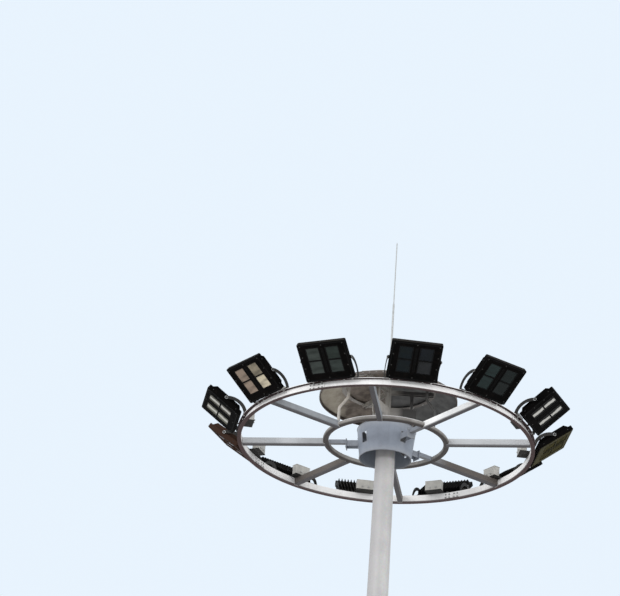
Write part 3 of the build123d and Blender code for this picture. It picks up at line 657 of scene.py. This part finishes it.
bezel_black = weathered(
    "bezel_black_satin", (0.0045, 0.0045, 0.005), (0.003, 0.003, 0.0033), (0.012, 0.010, 0.009),
    rough=(0.4, 0.55), patch=16.0, streak=0.2, grain=0.15, pit=500.0, wear=0.25,
    wear_colour=(0.03, 0.03, 0.03), gloss=0.02,
)
chip_board = weathered(
    "chip_board_white", (0.72, 0.72, 0.70), (0.62, 0.62, 0.60), (0.40, 0.38, 0.30),
    rough=(0.35, 0.5), patch=60.0, streak=0.1, grain=0.05, pit=900.0,
)
chip_phosphor = weathered(
    "chip_phosphor_yellow", (0.80, 0.58, 0.07), (0.72, 0.48, 0.05), (0.5, 0.3, 0.05),
    rough=(0.25, 0.35), patch=90.0, streak=0.1, grain=0.05, pit=1400.0,
)
weld_steel = weathered(
    "weld_bead_painted", (0.46, 0.45, 0.44), (0.33, 0.32, 0.31), (0.20, 0.16, 0.13),
    patch=40.0, grain=0.3, pit=500.0,
)
reflector_aluminium = reflector_material()

CAD_LOOKS = (
    (shaft_steel, "base_flange base_gussets door_frame access_door head_flange"),
    (shaft_steel, "shaft_lower shaft_middle shaft_upper"),
    (frame_steel, "head_frame cover_posts cover_ring docking_horns rod_base"),
    (bare_steel, "sheave_pins roller_pins rope_coupler rope_sockets lightning_rod"),
    (sheave_iron, "sheaves"), (dark_steel, "hinge_bolts"), (wire_rope, "lift_ropes"),
    (cover_shell, "rain_cover"), (ring_paint, "outer_ring"), (inner_ring_paint, "inner_ring"),
    (spoke_paint, "spokes"), (drum_paint, "guide_drum guide_arms"),
    (roller_plastic, "guide_rollers"), (yoke_paint, "lamp_yokes"), (driver_paint, "driver_boxes"),
)
look_of = {node_name: look for look, names in CAD_LOOKS for node_name in names.split()}
for node_name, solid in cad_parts.items():
    dress(solid, look_of.get(node_name, housing_black))


# Shaft: sleeve edges, long seams, flange and gusset welds

def shaft_radius(height):
    """Radius of the tapered shaft at a height."""
    return (BASE_DIA - TAPER * height) / 2


bm = bmesh.new()
for node_name in ("shaft_middle", "shaft_upper"):
    low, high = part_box(node_name)
    radius = (high.x - low.x) / 2
    bead(bm, circle_points(radius + 0.001, low.z - 0.002, 96), 0.004, True)
head_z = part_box("head_flange")[0].z
bead(bm, circle_points(shaft_radius(head_z) + 0.002, head_z - 0.002, 64), 0.004, True)
base_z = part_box("base_flange")[1].z
bead(bm, circle_points(shaft_radius(base_z) + 0.004, base_z + 0.003, 120), 0.006, True)
piece("shaft_weld_beads", bm, weld_steel, "mast")

bm = bmesh.new()
for node_name, turn in (("shaft_lower", 62), ("shaft_middle", 41), ("shaft_upper", 56)):
    low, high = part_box(node_name)
    start = (high.x - low.x) / 2
    end = start - TAPER * (high.z - low.z) / 2
    sweep(bm, [polar(start, turn, low.z + 0.01), polar(end, turn, high.z - 0.01)], 0.0022, 6)
piece("shaft_long_seams", bm, shaft_steel, "mast")

GUSSET_WELD_R = shaft_radius(0.04) + 0.004
GUSSET_WELD_LENGTH = 0.13
bm = bmesh.new()
for turn, side in product(range(0, 360, 30), (-0.008, 0.008)):
    ends = [Vector((GUSSET_WELD_R + x, side, base_z + 0.003)) for x in (0, GUSSET_WELD_LENGTH)]
    bead(bm, [turned(turn) @ end for end in ends], 0.004)
piece("gusset_weld_beads", bm, weld_steel, "mast")

# Door: hinges on its right, two triangular keys, and an earth lug beside it
door_low, door_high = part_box("access_door")
door_mid = (door_low + door_high) / 2
hinge_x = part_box("door_frame")[1].x - 0.006
bm = bmesh.new()
for height in (-0.2, 0.2):
    hinge = Matrix.Translation((hinge_x, door_low.y + 0.004, door_mid.z + height))
    pin_profile = [
        (0, -0.045), (0.007, -0.045), (0.0075, -0.044), (0.0075, 0.044), (0.007, 0.045), (0, 0.045)
    ]
    lathe(bm, pin_profile, hinge, 16)
    for middle in (-0.032, 0, 0.032):
        low, high = middle - 0.012, middle + 0.012
        lathe(bm, [(0, low), (0.0092, low), (0.0092, high), (0, high)], hinge, 16)
for height in (-0.22, 0.22):
    seat = facing((door_mid.x, door_low.y, door_mid.z + height), (0, -1, 0))
    lathe(bm, [(0, 0), (0.008, 0), (0.008, 0.0012), (0.0068, 0.002), (0, 0.002)], seat, 3)
piece("door_hinges_and_keys", bm, bare_steel, "mast")

LUG_Z = 0.32
bm = bmesh.new()
lug = at_angle(shaft_radius(LUG_Z) + 0.012, -58, LUG_Z)
block(bm, lug, (0.03, 0.008, 0.05), 0.001)
sideways = Matrix.Rotation(math.radians(-90), 4, "X")
bolt(bm, lug @ Matrix.Translation((0.004, 0.004, 0.0)) @ sideways)
piece("earth_lug", bm, bare_steel, "mast")

# Head: flange bolts and cover ring bolts
HEAD_BOLT_R = 0.155
bm = bmesh.new()
for index in range(12):
    turn = BOX_ANGLE + 15 + index * 30
    bolt(bm, facing(polar(HEAD_BOLT_R, turn, head_z), DOWN), 0.024, 0.012, 0.0165)
    nut_and_stud(bm, facing(polar(HEAD_BOLT_R, turn, BOX_BASE_Z), UP))
cover_ring_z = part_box("cover_ring")[0].z
for turn in COVER_BOLT_TURNS:
    bolt(bm, facing(polar(COVER_BOLT_R, turn, cover_ring_z), DOWN), 0.017, 0.008, 0.012)
piece("head_bolts", bm, bare_steel, "mast")

# Pulley boxes: weld beads, caps of the sheave pins and their keeper plates
CHEEK_OUT = 0.030
KEEPER_Z = SHEAVE_Z + 0.022
CAP_PROFILE = [
    (0, 0), (0.0105, 0), (0.0105, 0.001), (0.009, 0.0022), (0.004, 0.0022), (0.0035, 0.0008),
    (0, 0.0008),
]
bm_weld, bm_keeper = bmesh.new(), bmesh.new()
for turn, side in product(BOX_TURNS, (-1, 1)):
    base, out = turned(turn), side * CHEEK_OUT
    foot = [base @ Vector((x, out, BOX_BASE_Z + 0.002)) for x in (0.045, 0.197)]
    bead(bm_weld, foot, 0.004)
    for x in (0.281, 0.319):
        post = [base @ Vector((x, out * 0.95, CHEEK_TOP_Z + z)) for z in (0, 0.03)]
        bead(bm_weld, post, 0.003)
    cap = seat_on(base, (MID_R, side * (CHEEK_OUT + 0.004), SHEAVE_Z), (0, side, 0))
    lathe(bm_weld, CAP_PROFILE, cap, 20)
    keeper = base @ Matrix.Translation((MID_R, out, KEEPER_Z))
    block(bm_keeper, keeper, (0.046, 0.004, 0.014), 0.001)
    for shift in (-0.016, 0.016):
        point = (MID_R + shift, side * (CHEEK_OUT + 0.002), KEEPER_Z)
        bolt(bm_keeper, seat_on(base, point, (0, side, 0)), 0.008, 0.004, 0.0055)
piece("box_weld_beads", bm_weld, weld_steel, "mast")
piece("pin_keepers", bm_keeper, bare_steel, "mast")

# Lift ropes as laid strands where they show, plain further down the bore
ROPE_LOW = RING_Z + DRUM_TOP + SOCKET_HEIGHT + ROPE_END_GAP
ROPE_RISE = SHEAVE_Z - ROPE_LOW
ROPE_ARC = math.pi * PITCH_R
LAID_LENGTH = ROPE_RISE + ROPE_ARC + 0.5
LAID_STEPS = 190
STRANDS = 6
STRAND_LAY = 0.065
STRAND_R = 0.00165
STRAND_OUT = 0.0032


def rope_point(run):
    """Point and in-plane normal of the rope, in its plane, after a run from its socket."""
    if run < ROPE_RISE:
        return Vector((FALL_R, 0, ROPE_LOW + run)), Vector((1, 0, 0))
    run -= ROPE_RISE
    if run < ROPE_ARC:
        turn = run / PITCH_R
        out = Vector((math.cos(turn), 0, math.sin(turn)))
        return Vector((MID_R, 0, SHEAVE_Z)) + out * PITCH_R, out
    run -= ROPE_ARC
    return Vector((BORE_R, 0, SHEAVE_Z - run)), Vector((-1, 0, 0))


bm = bmesh.new()
coupler_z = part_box("rope_coupler")[1].z
for turn in BOX_TURNS:
    base = turned(turn)
    for strand in range(STRANDS):
        line = []
        for step in range(LAID_STEPS + 1):
            run = LAID_LENGTH * step / LAID_STEPS
            centre, out = rope_point(run)
            lay = 2 * math.pi * (run / STRAND_LAY + strand / STRANDS)
            off = math.cos(lay) * out + math.sin(lay) * Vector(BACK)
            line.append(base @ (centre + STRAND_OUT * off))
        sweep(bm, line, STRAND_R, 6)
    top = rope_point(LAID_LENGTH)[0].z + 0.01
    below = [base @ Vector((BORE_R, 0, z)) for z in (top, 12.0, coupler_z)]
    sweep(bm, below, 0.0048, 12)
ropes = piece("lift_ropes_laid", bm, wire_rope, "mast")
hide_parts("lift_ropes")

# Rain cover: rolled rim and seams
cap_rise = cover_high.z - COVER_EDGE
cap_drop = ((COVER_R ** 2 - COVER_FLAT ** 2) + cap_rise ** 2) / (2 * cap_rise)
cap_r = math.sqrt(cap_drop ** 2 + COVER_FLAT ** 2)
cap_z = cover_high.z - cap_drop


def cover_z(radius):
    """Height of the cover's outer skin."""
    return cap_z + math.sqrt(cap_r ** 2 - radius ** 2)


RIM_BEAD_R = 0.0045
SEAM_START = 0.085
SEAM_END = 0.878
SEAM_STEPS = 14
SEAM_SECTION = ((-0.011, -0.001), (-0.008, 0.004), (0.008, 0.004), (0.011, -0.001))
bm = bmesh.new()
rim = round_profile(COVER_R - 0.0085, cover_low.z + RIM_BEAD_R, RIM_BEAD_R)
lathe(bm, rim, None, 128, True)
for index in range(8):
    base = turned(22 + 45 * index)
    rows = [[], [], [], []]
    for step in range(SEAM_STEPS + 1):
        radius = SEAM_START + (SEAM_END - SEAM_START) * step / SEAM_STEPS
        for row, (y, lift) in zip(rows, SEAM_SECTION):
            row.append(bm.verts.new(base @ Vector((radius, y, cover_z(radius) + lift))))
    for low, high in zip(rows, rows[1:]):
        for step in range(SEAM_STEPS):
            bm.faces.new((low[step], low[step + 1], high[step + 1], high[step]))
piece("cover_rim_and_seams", bm, cover_shell, "mast")

# Rivets round the rim, bolts into the cover ring, screws of the rod's clamp
RIVET_COUNT = 64
RIVET_PROFILE = [(0.0052, -0.001), (0.0052, 0.0002), (0.0038, 0.0018), (0, 0.0024)]
GRUB_PROFILE = [
    (0, 0), (0.006, 0), (0.006, 0.005), (0.005, 0.006), (0.003, 0.006), (0.003, 0.003), (0, 0.003)
]
bm = bmesh.new()
for index in range(RIVET_COUNT):
    turn = 360 / RIVET_COUNT * index
    seat = facing(polar(COVER_R, turn, cover_low.z + 0.022), polar(1, turn, 0))
    lathe(bm, RIVET_PROFILE, seat, 10)
for turn in COVER_BOLT_TURNS:
    z = cover_z(COVER_BOLT_R)
    outward = polar(COVER_BOLT_R, turn, z - cap_z)
    bolt(bm, facing(polar(COVER_BOLT_R, turn, z - 0.0005), outward), 0.015, 0.006, 0.0115)
rod_base_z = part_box("rod_base")[0].z
for turn in range(45, 360, 90):
    bolt(bm, facing(polar(0.052, turn, rod_base_z + 0.010), UP), 0.016, 0.008, 0.012)
for height in (0.05, 0.11):
    for turn in (-90, 30, 150):
        seat = facing(polar(0.0235, turn, rod_base_z + height), polar(1, turn, 0))
        lathe(bm, GRUB_PROFILE, seat, 6)
piece("cover_rivets_and_rod_screws", bm, bare_steel, "mast")

# Carriage: splice plates on both sides of the ring's web
SPLICE_T = 0.008
bm = bmesh.new()
for turn in SPLICE_TURNS:
    block(bm, at_angle(WEB_IN - SPLICE_T / 2, turn, RING_Z), (SPLICE_T, 0.22, 0.078), 0.0015)
    outside = WEB_IN + RING_T + SPLICE_T / 2
    block(bm, at_angle(outside, turn, RING_Z), (SPLICE_T, 0.22, 0.076), 0.0015)
piece("ring_splice_plates", bm, ring_paint, "carriage")

# Carriage bolts: splices, feet of the yokes, plates of the guide arms
FOOT_R = RING_R - 0.032
FOOT_T = 0.008
GUIDE_BOLT_R = 0.505
GUIDE_ARM_Z = RING_Z - 0.03
bm = bmesh.new()
for turn, row, shift in product(SPLICE_TURNS, (-0.022, 0.022), (-0.085, -0.035, 0.035, 0.085)):
    inner = (WEB_IN - SPLICE_T, shift, RING_Z + row)
    outer = (WEB_IN + RING_T + SPLICE_T, shift, RING_Z + row)
    bolt(bm, seat_on(turned(turn), inner, (-1, 0, 0)), 0.017, 0.008, 0.012)
    nut_and_stud(bm, seat_on(turned(turn), outer, RIGHT), 0.017, 0.009, 0.005, 0.008)
for turn, shift in product(LAMP_TURNS, (-0.15, -0.26, 0.15, 0.26)):
    over = (FOOT_R, shift, RING_Z + RING_HALF + FOOT_T)
    under = (FOOT_R, shift, RING_Z + RING_HALF - RING_T)
    bolt(bm, seat_on(turned(turn), over, UP), 0.018, 0.008, 0.0125)
    nut_and_stud(bm, seat_on(turned(turn), under, DOWN), 0.018, 0.009, 0.0055, 0.008)
for turn, row, shift in product(GUIDE_TURNS, (-0.045, 0.045), (-0.045, 0.045)):
    point = (GUIDE_BOLT_R, shift, GUIDE_ARM_Z + row)
    bolt(bm, seat_on(turned(turn), point, RIGHT), 0.015, 0.007, 0.011)
piece("carriage_bolts", bm, bare_steel, "carriage")

# Spoke welds: a frame of beads at the outer web, a bead round the inner tube on each side
SPOKE_SIDE = 0.031
WELD_R = 0.0035
TUBE_WELD_R = INNER_TUBE_R + 0.001
bm = bmesh.new()
for turn in SPOKE_TURNS:
    base = turned(turn)
    for side in (-SPOKE_SIDE, SPOKE_SIDE):
        end = math.sqrt(WEB_IN ** 2 - side ** 2) - 0.002
        bead(bm, [base @ Vector((end, side, RING_Z + z)) for z in (-0.044, 0.044)], WELD_R)
    for height in (-0.046, 0.046):
        end = WEB_IN - 0.003
        bead(bm, [base @ Vector((end, y, RING_Z + height)) for y in (-0.03, 0.03)], WELD_R)
    for side in (-SPOKE_SIDE, SPOKE_SIDE):
        line = []
        for step in range(9):
            around = math.radians(-78 + 156 * step / 8)
            reached = INNER_RING_R + TUBE_WELD_R * math.cos(around)
            line.append(base @ Vector((reached, side, RING_Z + TUBE_WELD_R * math.sin(around))))
        bead(bm, line, WELD_R)
piece("spoke_weld_beads", bm, weld_steel, "carriage")

# Drum: rolled rims, and a bead round each window
WINDOW_HALF = 0.045
WINDOW_LOW = -0.10
WINDOW_HIGH = 0.04
drum_low, drum_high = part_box("guide_drum")
bm = bmesh.new()
lathe(bm, round_profile(DRUM_TOP_R - 0.001, drum_high.z - 0.006, 0.005), None, 96, True)
lathe(bm, round_profile(DRUM_BOTTOM_R + 0.0015, drum_low.z + 0.006, 0.005), None, 96, True)
for turn in WINDOW_TURNS:
    base = turned(turn)
    corners = []
    for side, z in ((-1, WINDOW_LOW), (1, WINDOW_LOW), (1, WINDOW_HIGH), (-1, WINDOW_HIGH)):
        y = side * WINDOW_HALF
        share = (z - DRUM_BOTTOM) / (DRUM_TOP - DRUM_BOTTOM)
        radius = DRUM_BOTTOM_R + share * (DRUM_TOP_R - DRUM_BOTTOM_R) + 0.001
        corners.append(base @ Vector((math.sqrt(radius ** 2 - y ** 2), y, RING_Z + z)))
    path = [
        start.lerp(end, step / 6)
        for start, end in zip(corners, corners[1:] + corners[:1]) for step in range(6)
    ]
    sweep(bm, path, WELD_R, 6, True)
piece("drum_rim_beads", bm, drum_paint, "carriage")

# Rope sockets: base bolts and collars
COLLAR_PROFILE = [
    (0.0056, -0.001), (0.0175, -0.001), (0.0175, -0.006), (0.0186, -0.008), (0.0186, -0.018),
    (0.017, -0.02),
]
bm = bmesh.new()
socket_low, socket_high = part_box("rope_sockets")
for turn in BOX_TURNS:
    for around in (0, 120, 240):
        spot = polar(FALL_R, turn, socket_low.z + 0.01) + polar(0.0255, turn + 60 + around, 0)
        bolt(bm, facing(spot, UP), 0.010, 0.005, 0.0068)
    lathe(bm, COLLAR_PROFILE, Matrix.Translation(polar(FALL_R, turn, socket_high.z)), 24)
piece("socket_bolts_and_collars", bm, bare_steel, "carriage")

# Driver boxes: ribbed lids, screws, glands
DRIVER_R = RING_R - 0.14
LID_SCREW = [(0, 0), (0.0045, 0), (0.0045, 0.002), (0.0035, 0.003), (0, 0.003)]
GLAND_NUT = [(0, 0), (0.013, 0), (0.013, 0.006), (0, 0.006)]
GLAND_CAP = [
    (0, 0.006), (0.0105, 0.006), (0.0105, 0.014), (0.008, 0.018), (0.005, 0.018), (0, 0.016)
]
bm_lid, bm_screw = bmesh.new(), bmesh.new()
driver_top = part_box("driver_boxes")[1].z
for turn in LAMP_TURNS:
    lid = at_angle(DRIVER_R, turn, driver_top)
    block(bm_lid, lid @ Matrix.Translation((0, 0, 0.003)), (0.094, 0.224, 0.008), 0.002)
    for rib in range(5):
        place = lid @ Matrix.Translation((0, -0.07 + 0.035 * rib, 0.009))
        block(bm_lid, place, (0.06, 0.005, 0.006), 0.001, 1)
    for x, y in product((-0.038, 0.038), (-0.102, 0.102)):
        lathe(bm_screw, LID_SCREW, lid @ Matrix.Translation((x, y, 0.0065)), 12)
    for y in (-0.04, 0.04):
        seat = seat_on(lid, (-0.045, y, -0.09), (-1, 0, 0))
        lathe(bm_screw, GLAND_NUT, seat, 6)
        lathe(bm_screw, GLAND_CAP, seat, 16)
piece("driver_lids", bm_lid, driver_paint, "carriage")
piece("driver_screws_and_glands", bm_screw, bare_steel, "carriage")

# Yokes: washers of the tilt bolts
YOKE_OUT = 0.3366
WASHER_PROFILE = [(0.0152, 0), (0.021, 0), (0.021, 0.0022), (0.0152, 0.0022)]
bm = bmesh.new()
for turn, side in product(LAMP_TURNS, (-1, 1)):
    point = (LAMP_PIVOT_R, side * YOKE_OUT, LAMP_PIVOT_Z)
    lathe(bm, WASHER_PROFILE, seat_on(turned(turn), point, (0, side, 0)), 24, True)
piece("tilt_washers", bm, bare_steel, "carriage")

# Floodlights: one set of meshes in the lamp's own frame, placed twelve times
PANES = [(x, 0.02 + y) for x in (-PANE_X, PANE_X) for y in (-0.092, 0.092)]
FACE_Z = 0.060
SIDE_X = 0.32
BOTTOM_Y = -0.267
MIDDLE_DEPTH = 0.028
CHIP_Z = 0.0161


def lamp_matrix(angle):
    """Frame of a floodlight: X along its hinge, Z the way it faces."""
    out = polar(1, angle, 0)
    x = Vector((-out.y, out.x, 0))
    z = out * math.cos(LAMP_LEAN) - Vector((0, 0, math.sin(LAMP_LEAN)))
    made = Matrix((x, z.cross(x), z)).transposed().to_4x4()
    made.translation = polar(LAMP_PIVOT_R, angle, LAMP_PIVOT_Z)
    return made


def cup_mesh():
    """Reflector liners with pressed facets: half width, half height and depth from top to floor."""
    bm = bmesh.new()
    top, bottom, levels = Vector((0.0757, 0.0782, 0.0506)), Vector((0.0336, 0.0361, 0.0142)), 5
    for centre in PANES:
        rings = []
        for level in range(levels + 1):
            share = level / levels
            half_x, half_y, z = top.lerp(bottom, share)
            radius = 0.008 + 0.004 * share
            rings.append(rectangle_ring(bm, half_x, half_y, z, centre, radius, 4))
        join_rings(bm, rings)
        bm.faces.new(rings[-1])
        join_rings(bm, [
            rectangle_ring(bm, 0.0757, 0.0782, 0.0506, centre, 0.008, 4),
            rectangle_ring(bm, 0.0790, 0.0815, 0.0509, centre, 0.010, 4),
        ])
    return bm


def bezel_mesh():
    """Raised frames round the panes, the cross bars between them and the face's outer bead."""
    bm = bmesh.new()
    pane_frame = (
        (0.0905, 0.0905, -0.0005, 0.010), (0.0895, 0.0895, 0.0025, 0.009),
        (0.0815, 0.0840, 0.0025, 0.006), (0.0800, 0.0825, -0.0035, 0.005),
    )
    face_bead = (
        (0.306, 0.253, -0.0005, 0.020), (0.304, 0.251, 0.0022, 0.018),
        (0.296, 0.243, 0.0022, 0.012), (0.294, 0.241, -0.0005, 0.010),
    )
    for section, centre, around in [(pane_frame, c, 5) for c in PANES] + [(face_bead, (0, 0), 8)]:
        join_rings(bm, [
            rectangle_ring(bm, half_x, half_y, FACE_Z + lift, centre, radius, around)
            for half_x, half_y, lift, radius in section
        ])
    for x in (-0.012, 0.0, 0.012):
        bar = Matrix.Translation((x, 0.02, FACE_Z + 0.0005))
        block(bm, bar, (0.004, 0.34, 0.004), 0.0008, 1)
    return bm


def fitting_mesh():
    """Face screws, side screws, a gland and a breather."""
    bm = bmesh.new()
    socket_head = [
        (0, 0), (0.0075, 0), (0.0075, 0.003), (0.006, 0.0045), (0.003, 0.0045), (0.003, 0.002),
        (0, 0.002),
    ]
    spots = [(x, y) for x in (-0.282, 0, 0.282) for y in (-0.225, 0.232)]
    spots += [(x, y) for x in (-0.282, 0.282) for y in (-0.075, 0.08)]
    for x, y in spots:
        lathe(bm, socket_head, Matrix.Translation((x, y, FACE_Z)), 16)
    side_head = [(0, -0.001), (0.006, -0.001), (0.006, 0.003), (0.0045, 0.004), (0, 0.004)]
    for side, y in product((-1, 1), (-0.19, 0.19)):
        lathe(bm, side_head, facing((side * SIDE_X, y, 0.03), (side, 0, 0)), 12)
    gland = facing((0.0, BOTTOM_Y, MIDDLE_DEPTH), (0, -1, 0))
    lathe(bm, [(0, -0.001), (0.015, -0.001), (0.015, 0.007), (0, 0.007)], gland, 6)
    cap = [(0, 0.007), (0.0115, 0.007), (0.0115, 0.017), (0.0085, 0.021), (0, 0.021)]
    lathe(bm, cap, gland, 18)
    breather = facing((0.16, BOTTOM_Y, MIDDLE_DEPTH), (0, -1, 0))
    dome = [(0, -0.001), (0.009, -0.001), (0.009, 0.004), (0.0075, 0.006), (0, 0.006)]
    lathe(bm, dome, breather, 12)
    return bm


def chip_mesh():
    """Boards of the light sources, with corner screws and a rim round each emitter."""
    bm = bmesh.new()
    screw = [(0, 0), (0.0024, 0), (0.0020, 0.0012), (0, 0.0014)]
    rim = [(0.0195, 0), (0.0210, 0), (0.0205, 0.0014), (0.0195, 0.0014)]
    for x, y in PANES:
        block(bm, Matrix.Translation((x, y, 0.0152)), (0.050, 0.050, 0.0018), 0.0004, 1)
        for right, up in product((-0.02, 0.02), repeat=2):
            lathe(bm, screw, Matrix.Translation((x + right, y + up, CHIP_Z)), 10)
        lathe(bm, rim, Matrix.Translation((x, y, CHIP_Z)), 32, True)
    return bm


def phosphor_mesh():
    """Domed yellow emitters."""
    bm = bmesh.new()
    dome = [(0.0193, 0), (0.0186, 0.0010), (0.012, 0.0017), (0, 0.0020)]
    for x, y in PANES:
        lathe(bm, dome, Matrix.Translation((x, y, CHIP_Z)), 28)
    return bm


# Housings with a painted glare where the face is turned: its tone and how far round from the face
# it reaches
GLARES = {4: ((0.056, 0.050, 0.024), 0.8), 9: ((0.038, 0.021, 0.015), -0.3)}

# Reflections painted into each floodlight's panes: left column, right column, its lower pane, and
# where they differ from plain panes the share of a pale streak painted as a highlight, and the
# gloss
PAINTED_PANE_REFLECTIONS = [
    ((0.006, 0.009, 0.011), (0.008, 0.010, 0.013), (0.019, 0.020, 0.022)),
    ((0.018, 0.028, 0.028), (0.012, 0.016, 0.016), (0.014, 0.017, 0.017)),
    ((0.004, 0.004, 0.004), (0.004, 0.004, 0.004), (0.004, 0.004, 0.004), 0.8),
    ((0.058, 0.052, 0.024), (0.054, 0.049, 0.023), (0.050, 0.045, 0.022), 0.0, 0.0),
    ((0.24, 0.21, 0.15), (0.20, 0.18, 0.13), (0.20, 0.18, 0.13)),
    ((0.06, 0.06, 0.055), (0.30, 0.30, 0.28), (0.30, 0.30, 0.28)),
    ((0.30, 0.27, 0.20), (0.05, 0.045, 0.04), (0.05, 0.045, 0.04)),
    ((0.42, 0.45, 0.48), (0.36, 0.39, 0.42), (0.36, 0.39, 0.42)),
    ((0.09, 0.042, 0.028), (0.08, 0.036, 0.024), (0.08, 0.036, 0.024)),
    ((0.13, 0.13, 0.10), (0.09, 0.085, 0.065), (0.05, 0.045, 0.035), 0.7),
    ((0.24, 0.185, 0.145), (0.22, 0.19, 0.14), (0.52, 0.46, 0.34)),
    ((0.042, 0.050, 0.046), (0.022, 0.029, 0.026), (0.032, 0.040, 0.037)),
]

cup_data = as_mesh("reflector_cups", cup_mesh(), reflector_aluminium)
bezel_data = as_mesh("pane_bezels", bezel_mesh(), bezel_black)
fitting_data = as_mesh("lamp_fittings", fitting_mesh(), dark_steel)
chip_data = as_mesh("chip_boards", chip_mesh(), chip_board)
phosphor_data = as_mesh("chip_phosphor", phosphor_mesh(), chip_phosphor)
for number, (turn, painted_reflections) in enumerate(zip(LAMP_TURNS, PAINTED_PANE_REFLECTIONS), 1):
    body = f"floodlight_{number:02d}"
    at = lamp_matrix(turn)
    glass = glass_material(f"pane_glass_{number:02d}", at, *painted_reflections)
    dress(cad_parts[f"{body}_glass"], glass)
    place_mesh(f"{body}_reflectors", cup_data, body, at)
    bezels = place_mesh(f"{body}_bezels", bezel_data, body, at)
    if number in GLARES:
        glare, low = GLARES[number]
        # painted glare on the housing and on the bezels
        lit = ("normal", tuple(at.col[2].to_3d()), low, low + 0.1, glare, 0.95)
        glare_coat = housing_coat(f"housing_painted_glare_{number:02d}", lit)
        dress(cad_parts[f"{body}_housing"], glare_coat)
        bezels.material_slots[0].link = "OBJECT"
        bezels.material_slots[0].material = glare_coat
    place_mesh(f"{body}_fittings", fitting_data, body, at)
    place_mesh(f"{body}_chip_boards", chip_data, body, at)
    place_mesh(f"{body}_chip_phosphor", phosphor_data, body, at)

# Floor: pale from above, clear from below
floor_mesh = bpy.data.meshes.new("floor")
bm = bmesh.new()
bmesh.ops.create_circle(bm, cap_ends=True, radius=1200.0, segments=96)
bm.to_mesh(floor_mesh)
bm.free()
floor_look, tree, coords = new_material("floor_pale")
grit = noise(tree, coords, 0.6, 5.0)
pale = mix(tree, grade(tree, grit, 0.3, 0.7), (0.645, 0.645, 0.64), (0.63, 0.63, 0.625))
top = node(tree, "BsdfDiffuse", {"Color": pale}).outputs["BSDF"]
clear = node(tree, "BsdfTransparent").outputs["BSDF"]
from_below = node(tree, "NewGeometry").outputs["Backfacing"]
both = node(tree, "MixShader", {0: from_below, 1: top, 2: clear})
close_material(tree, both.outputs["Shader"])
floor_mesh.materials.append(floor_look)
floor = bpy.data.objects.new("floor", floor_mesh)
bpy.context.scene.collection.objects.link(floor)

# Sky: soft light from all round, a pale blue where it is seen
world = bpy.data.worlds.new("studio")
bpy.context.scene.world = world
world.use_nodes = True
tree = world.node_tree
tree.nodes.clear()
light = node(tree, "Background", {"Color": (0.97, 0.985, 1.0), "Strength": 1.25})
shown = node(tree, "Background", {"Color": (0.81, 0.90, 0.99), "Strength": 1.0})
ray = node(tree, "LightPath").outputs
seen = calc(tree, "MAXIMUM", ray["Is Camera Ray"], ray["Is Glossy Ray"])
seen = calc(tree, "MAXIMUM", seen, ray["Is Transmission Ray"])
skies = {0: seen, 1: light.outputs["Background"], 2: shown.outputs["Background"]}
world_output = tree.nodes.new("ShaderNodeOutputWorld")
tree.links.new(node(tree, "MixShader", skies).outputs["Shader"], world_output.inputs["Surface"])

# Lights: name, strength, width in degrees, direction of their rays
LIGHTS = (
    ("soft_sun", 0.95, 12, (0.54, 0.83, -0.155)),
    ("soft_fill", 0.5, 8, (0.88, 0.47, -0.012)),
    ("soft_side", 0.9, 10, (-0.86, 0.51, -0.03)),
)
for light_name, energy, spread, direction in LIGHTS:
    light_data = bpy.data.lights.new(light_name, "SUN")
    light_data.energy = energy
    light_data.angle = math.radians(spread)
    light_object = bpy.data.objects.new(light_name, light_data)
    light_object.rotation_euler = Vector(direction).to_track_quat("-Z", "Y").to_euler()
    bpy.context.scene.collection.objects.link(light_object)

# Camera: a standing viewer, aimed at the ring, then turned until the ring lies where the photo
# has it, so many pixels down and to the right of the middle
PHOTO_WIDTH = 620
EYE_Z = 1.6
ELEVATION = math.radians(23.4)
ROLL = math.radians(3.2)
PIXELS_PER_METRE = 78.4
PIXELS_DOWN = 144.5
PIXELS_RIGHT = 76.0
SENSOR = 36.0
distance = (RING_Z - EYE_Z) / math.sin(ELEVATION)
focal_pixels = PIXELS_PER_METRE * distance
camera_data = bpy.data.cameras.new("camera")
camera_data.sensor_width = SENSOR
camera_data.lens = SENSOR * focal_pixels / PHOTO_WIDTH
camera_data.clip_end = 5000.0
camera = bpy.data.objects.new("camera", camera_data)
eye = Vector((0.0, -distance * math.cos(ELEVATION), EYE_Z))
aim = (Vector((0, 0, RING_Z)) - eye).to_track_quat("-Z", "Y").to_matrix().to_4x4()
camera.matrix_world = (
    Matrix.Translation(eye) @ aim
    @ Matrix.Rotation(ROLL, 4, "Z")
    @ Matrix.Rotation(math.atan(PIXELS_DOWN / focal_pixels), 4, "X")
    @ Matrix.Rotation(math.atan(PIXELS_RIGHT / focal_pixels), 4, "Y")
)
bpy.context.scene.collection.objects.link(camera)
bpy.context.scene.camera = camera
bpy.context.scene.view_settings.view_transform = "Standard"
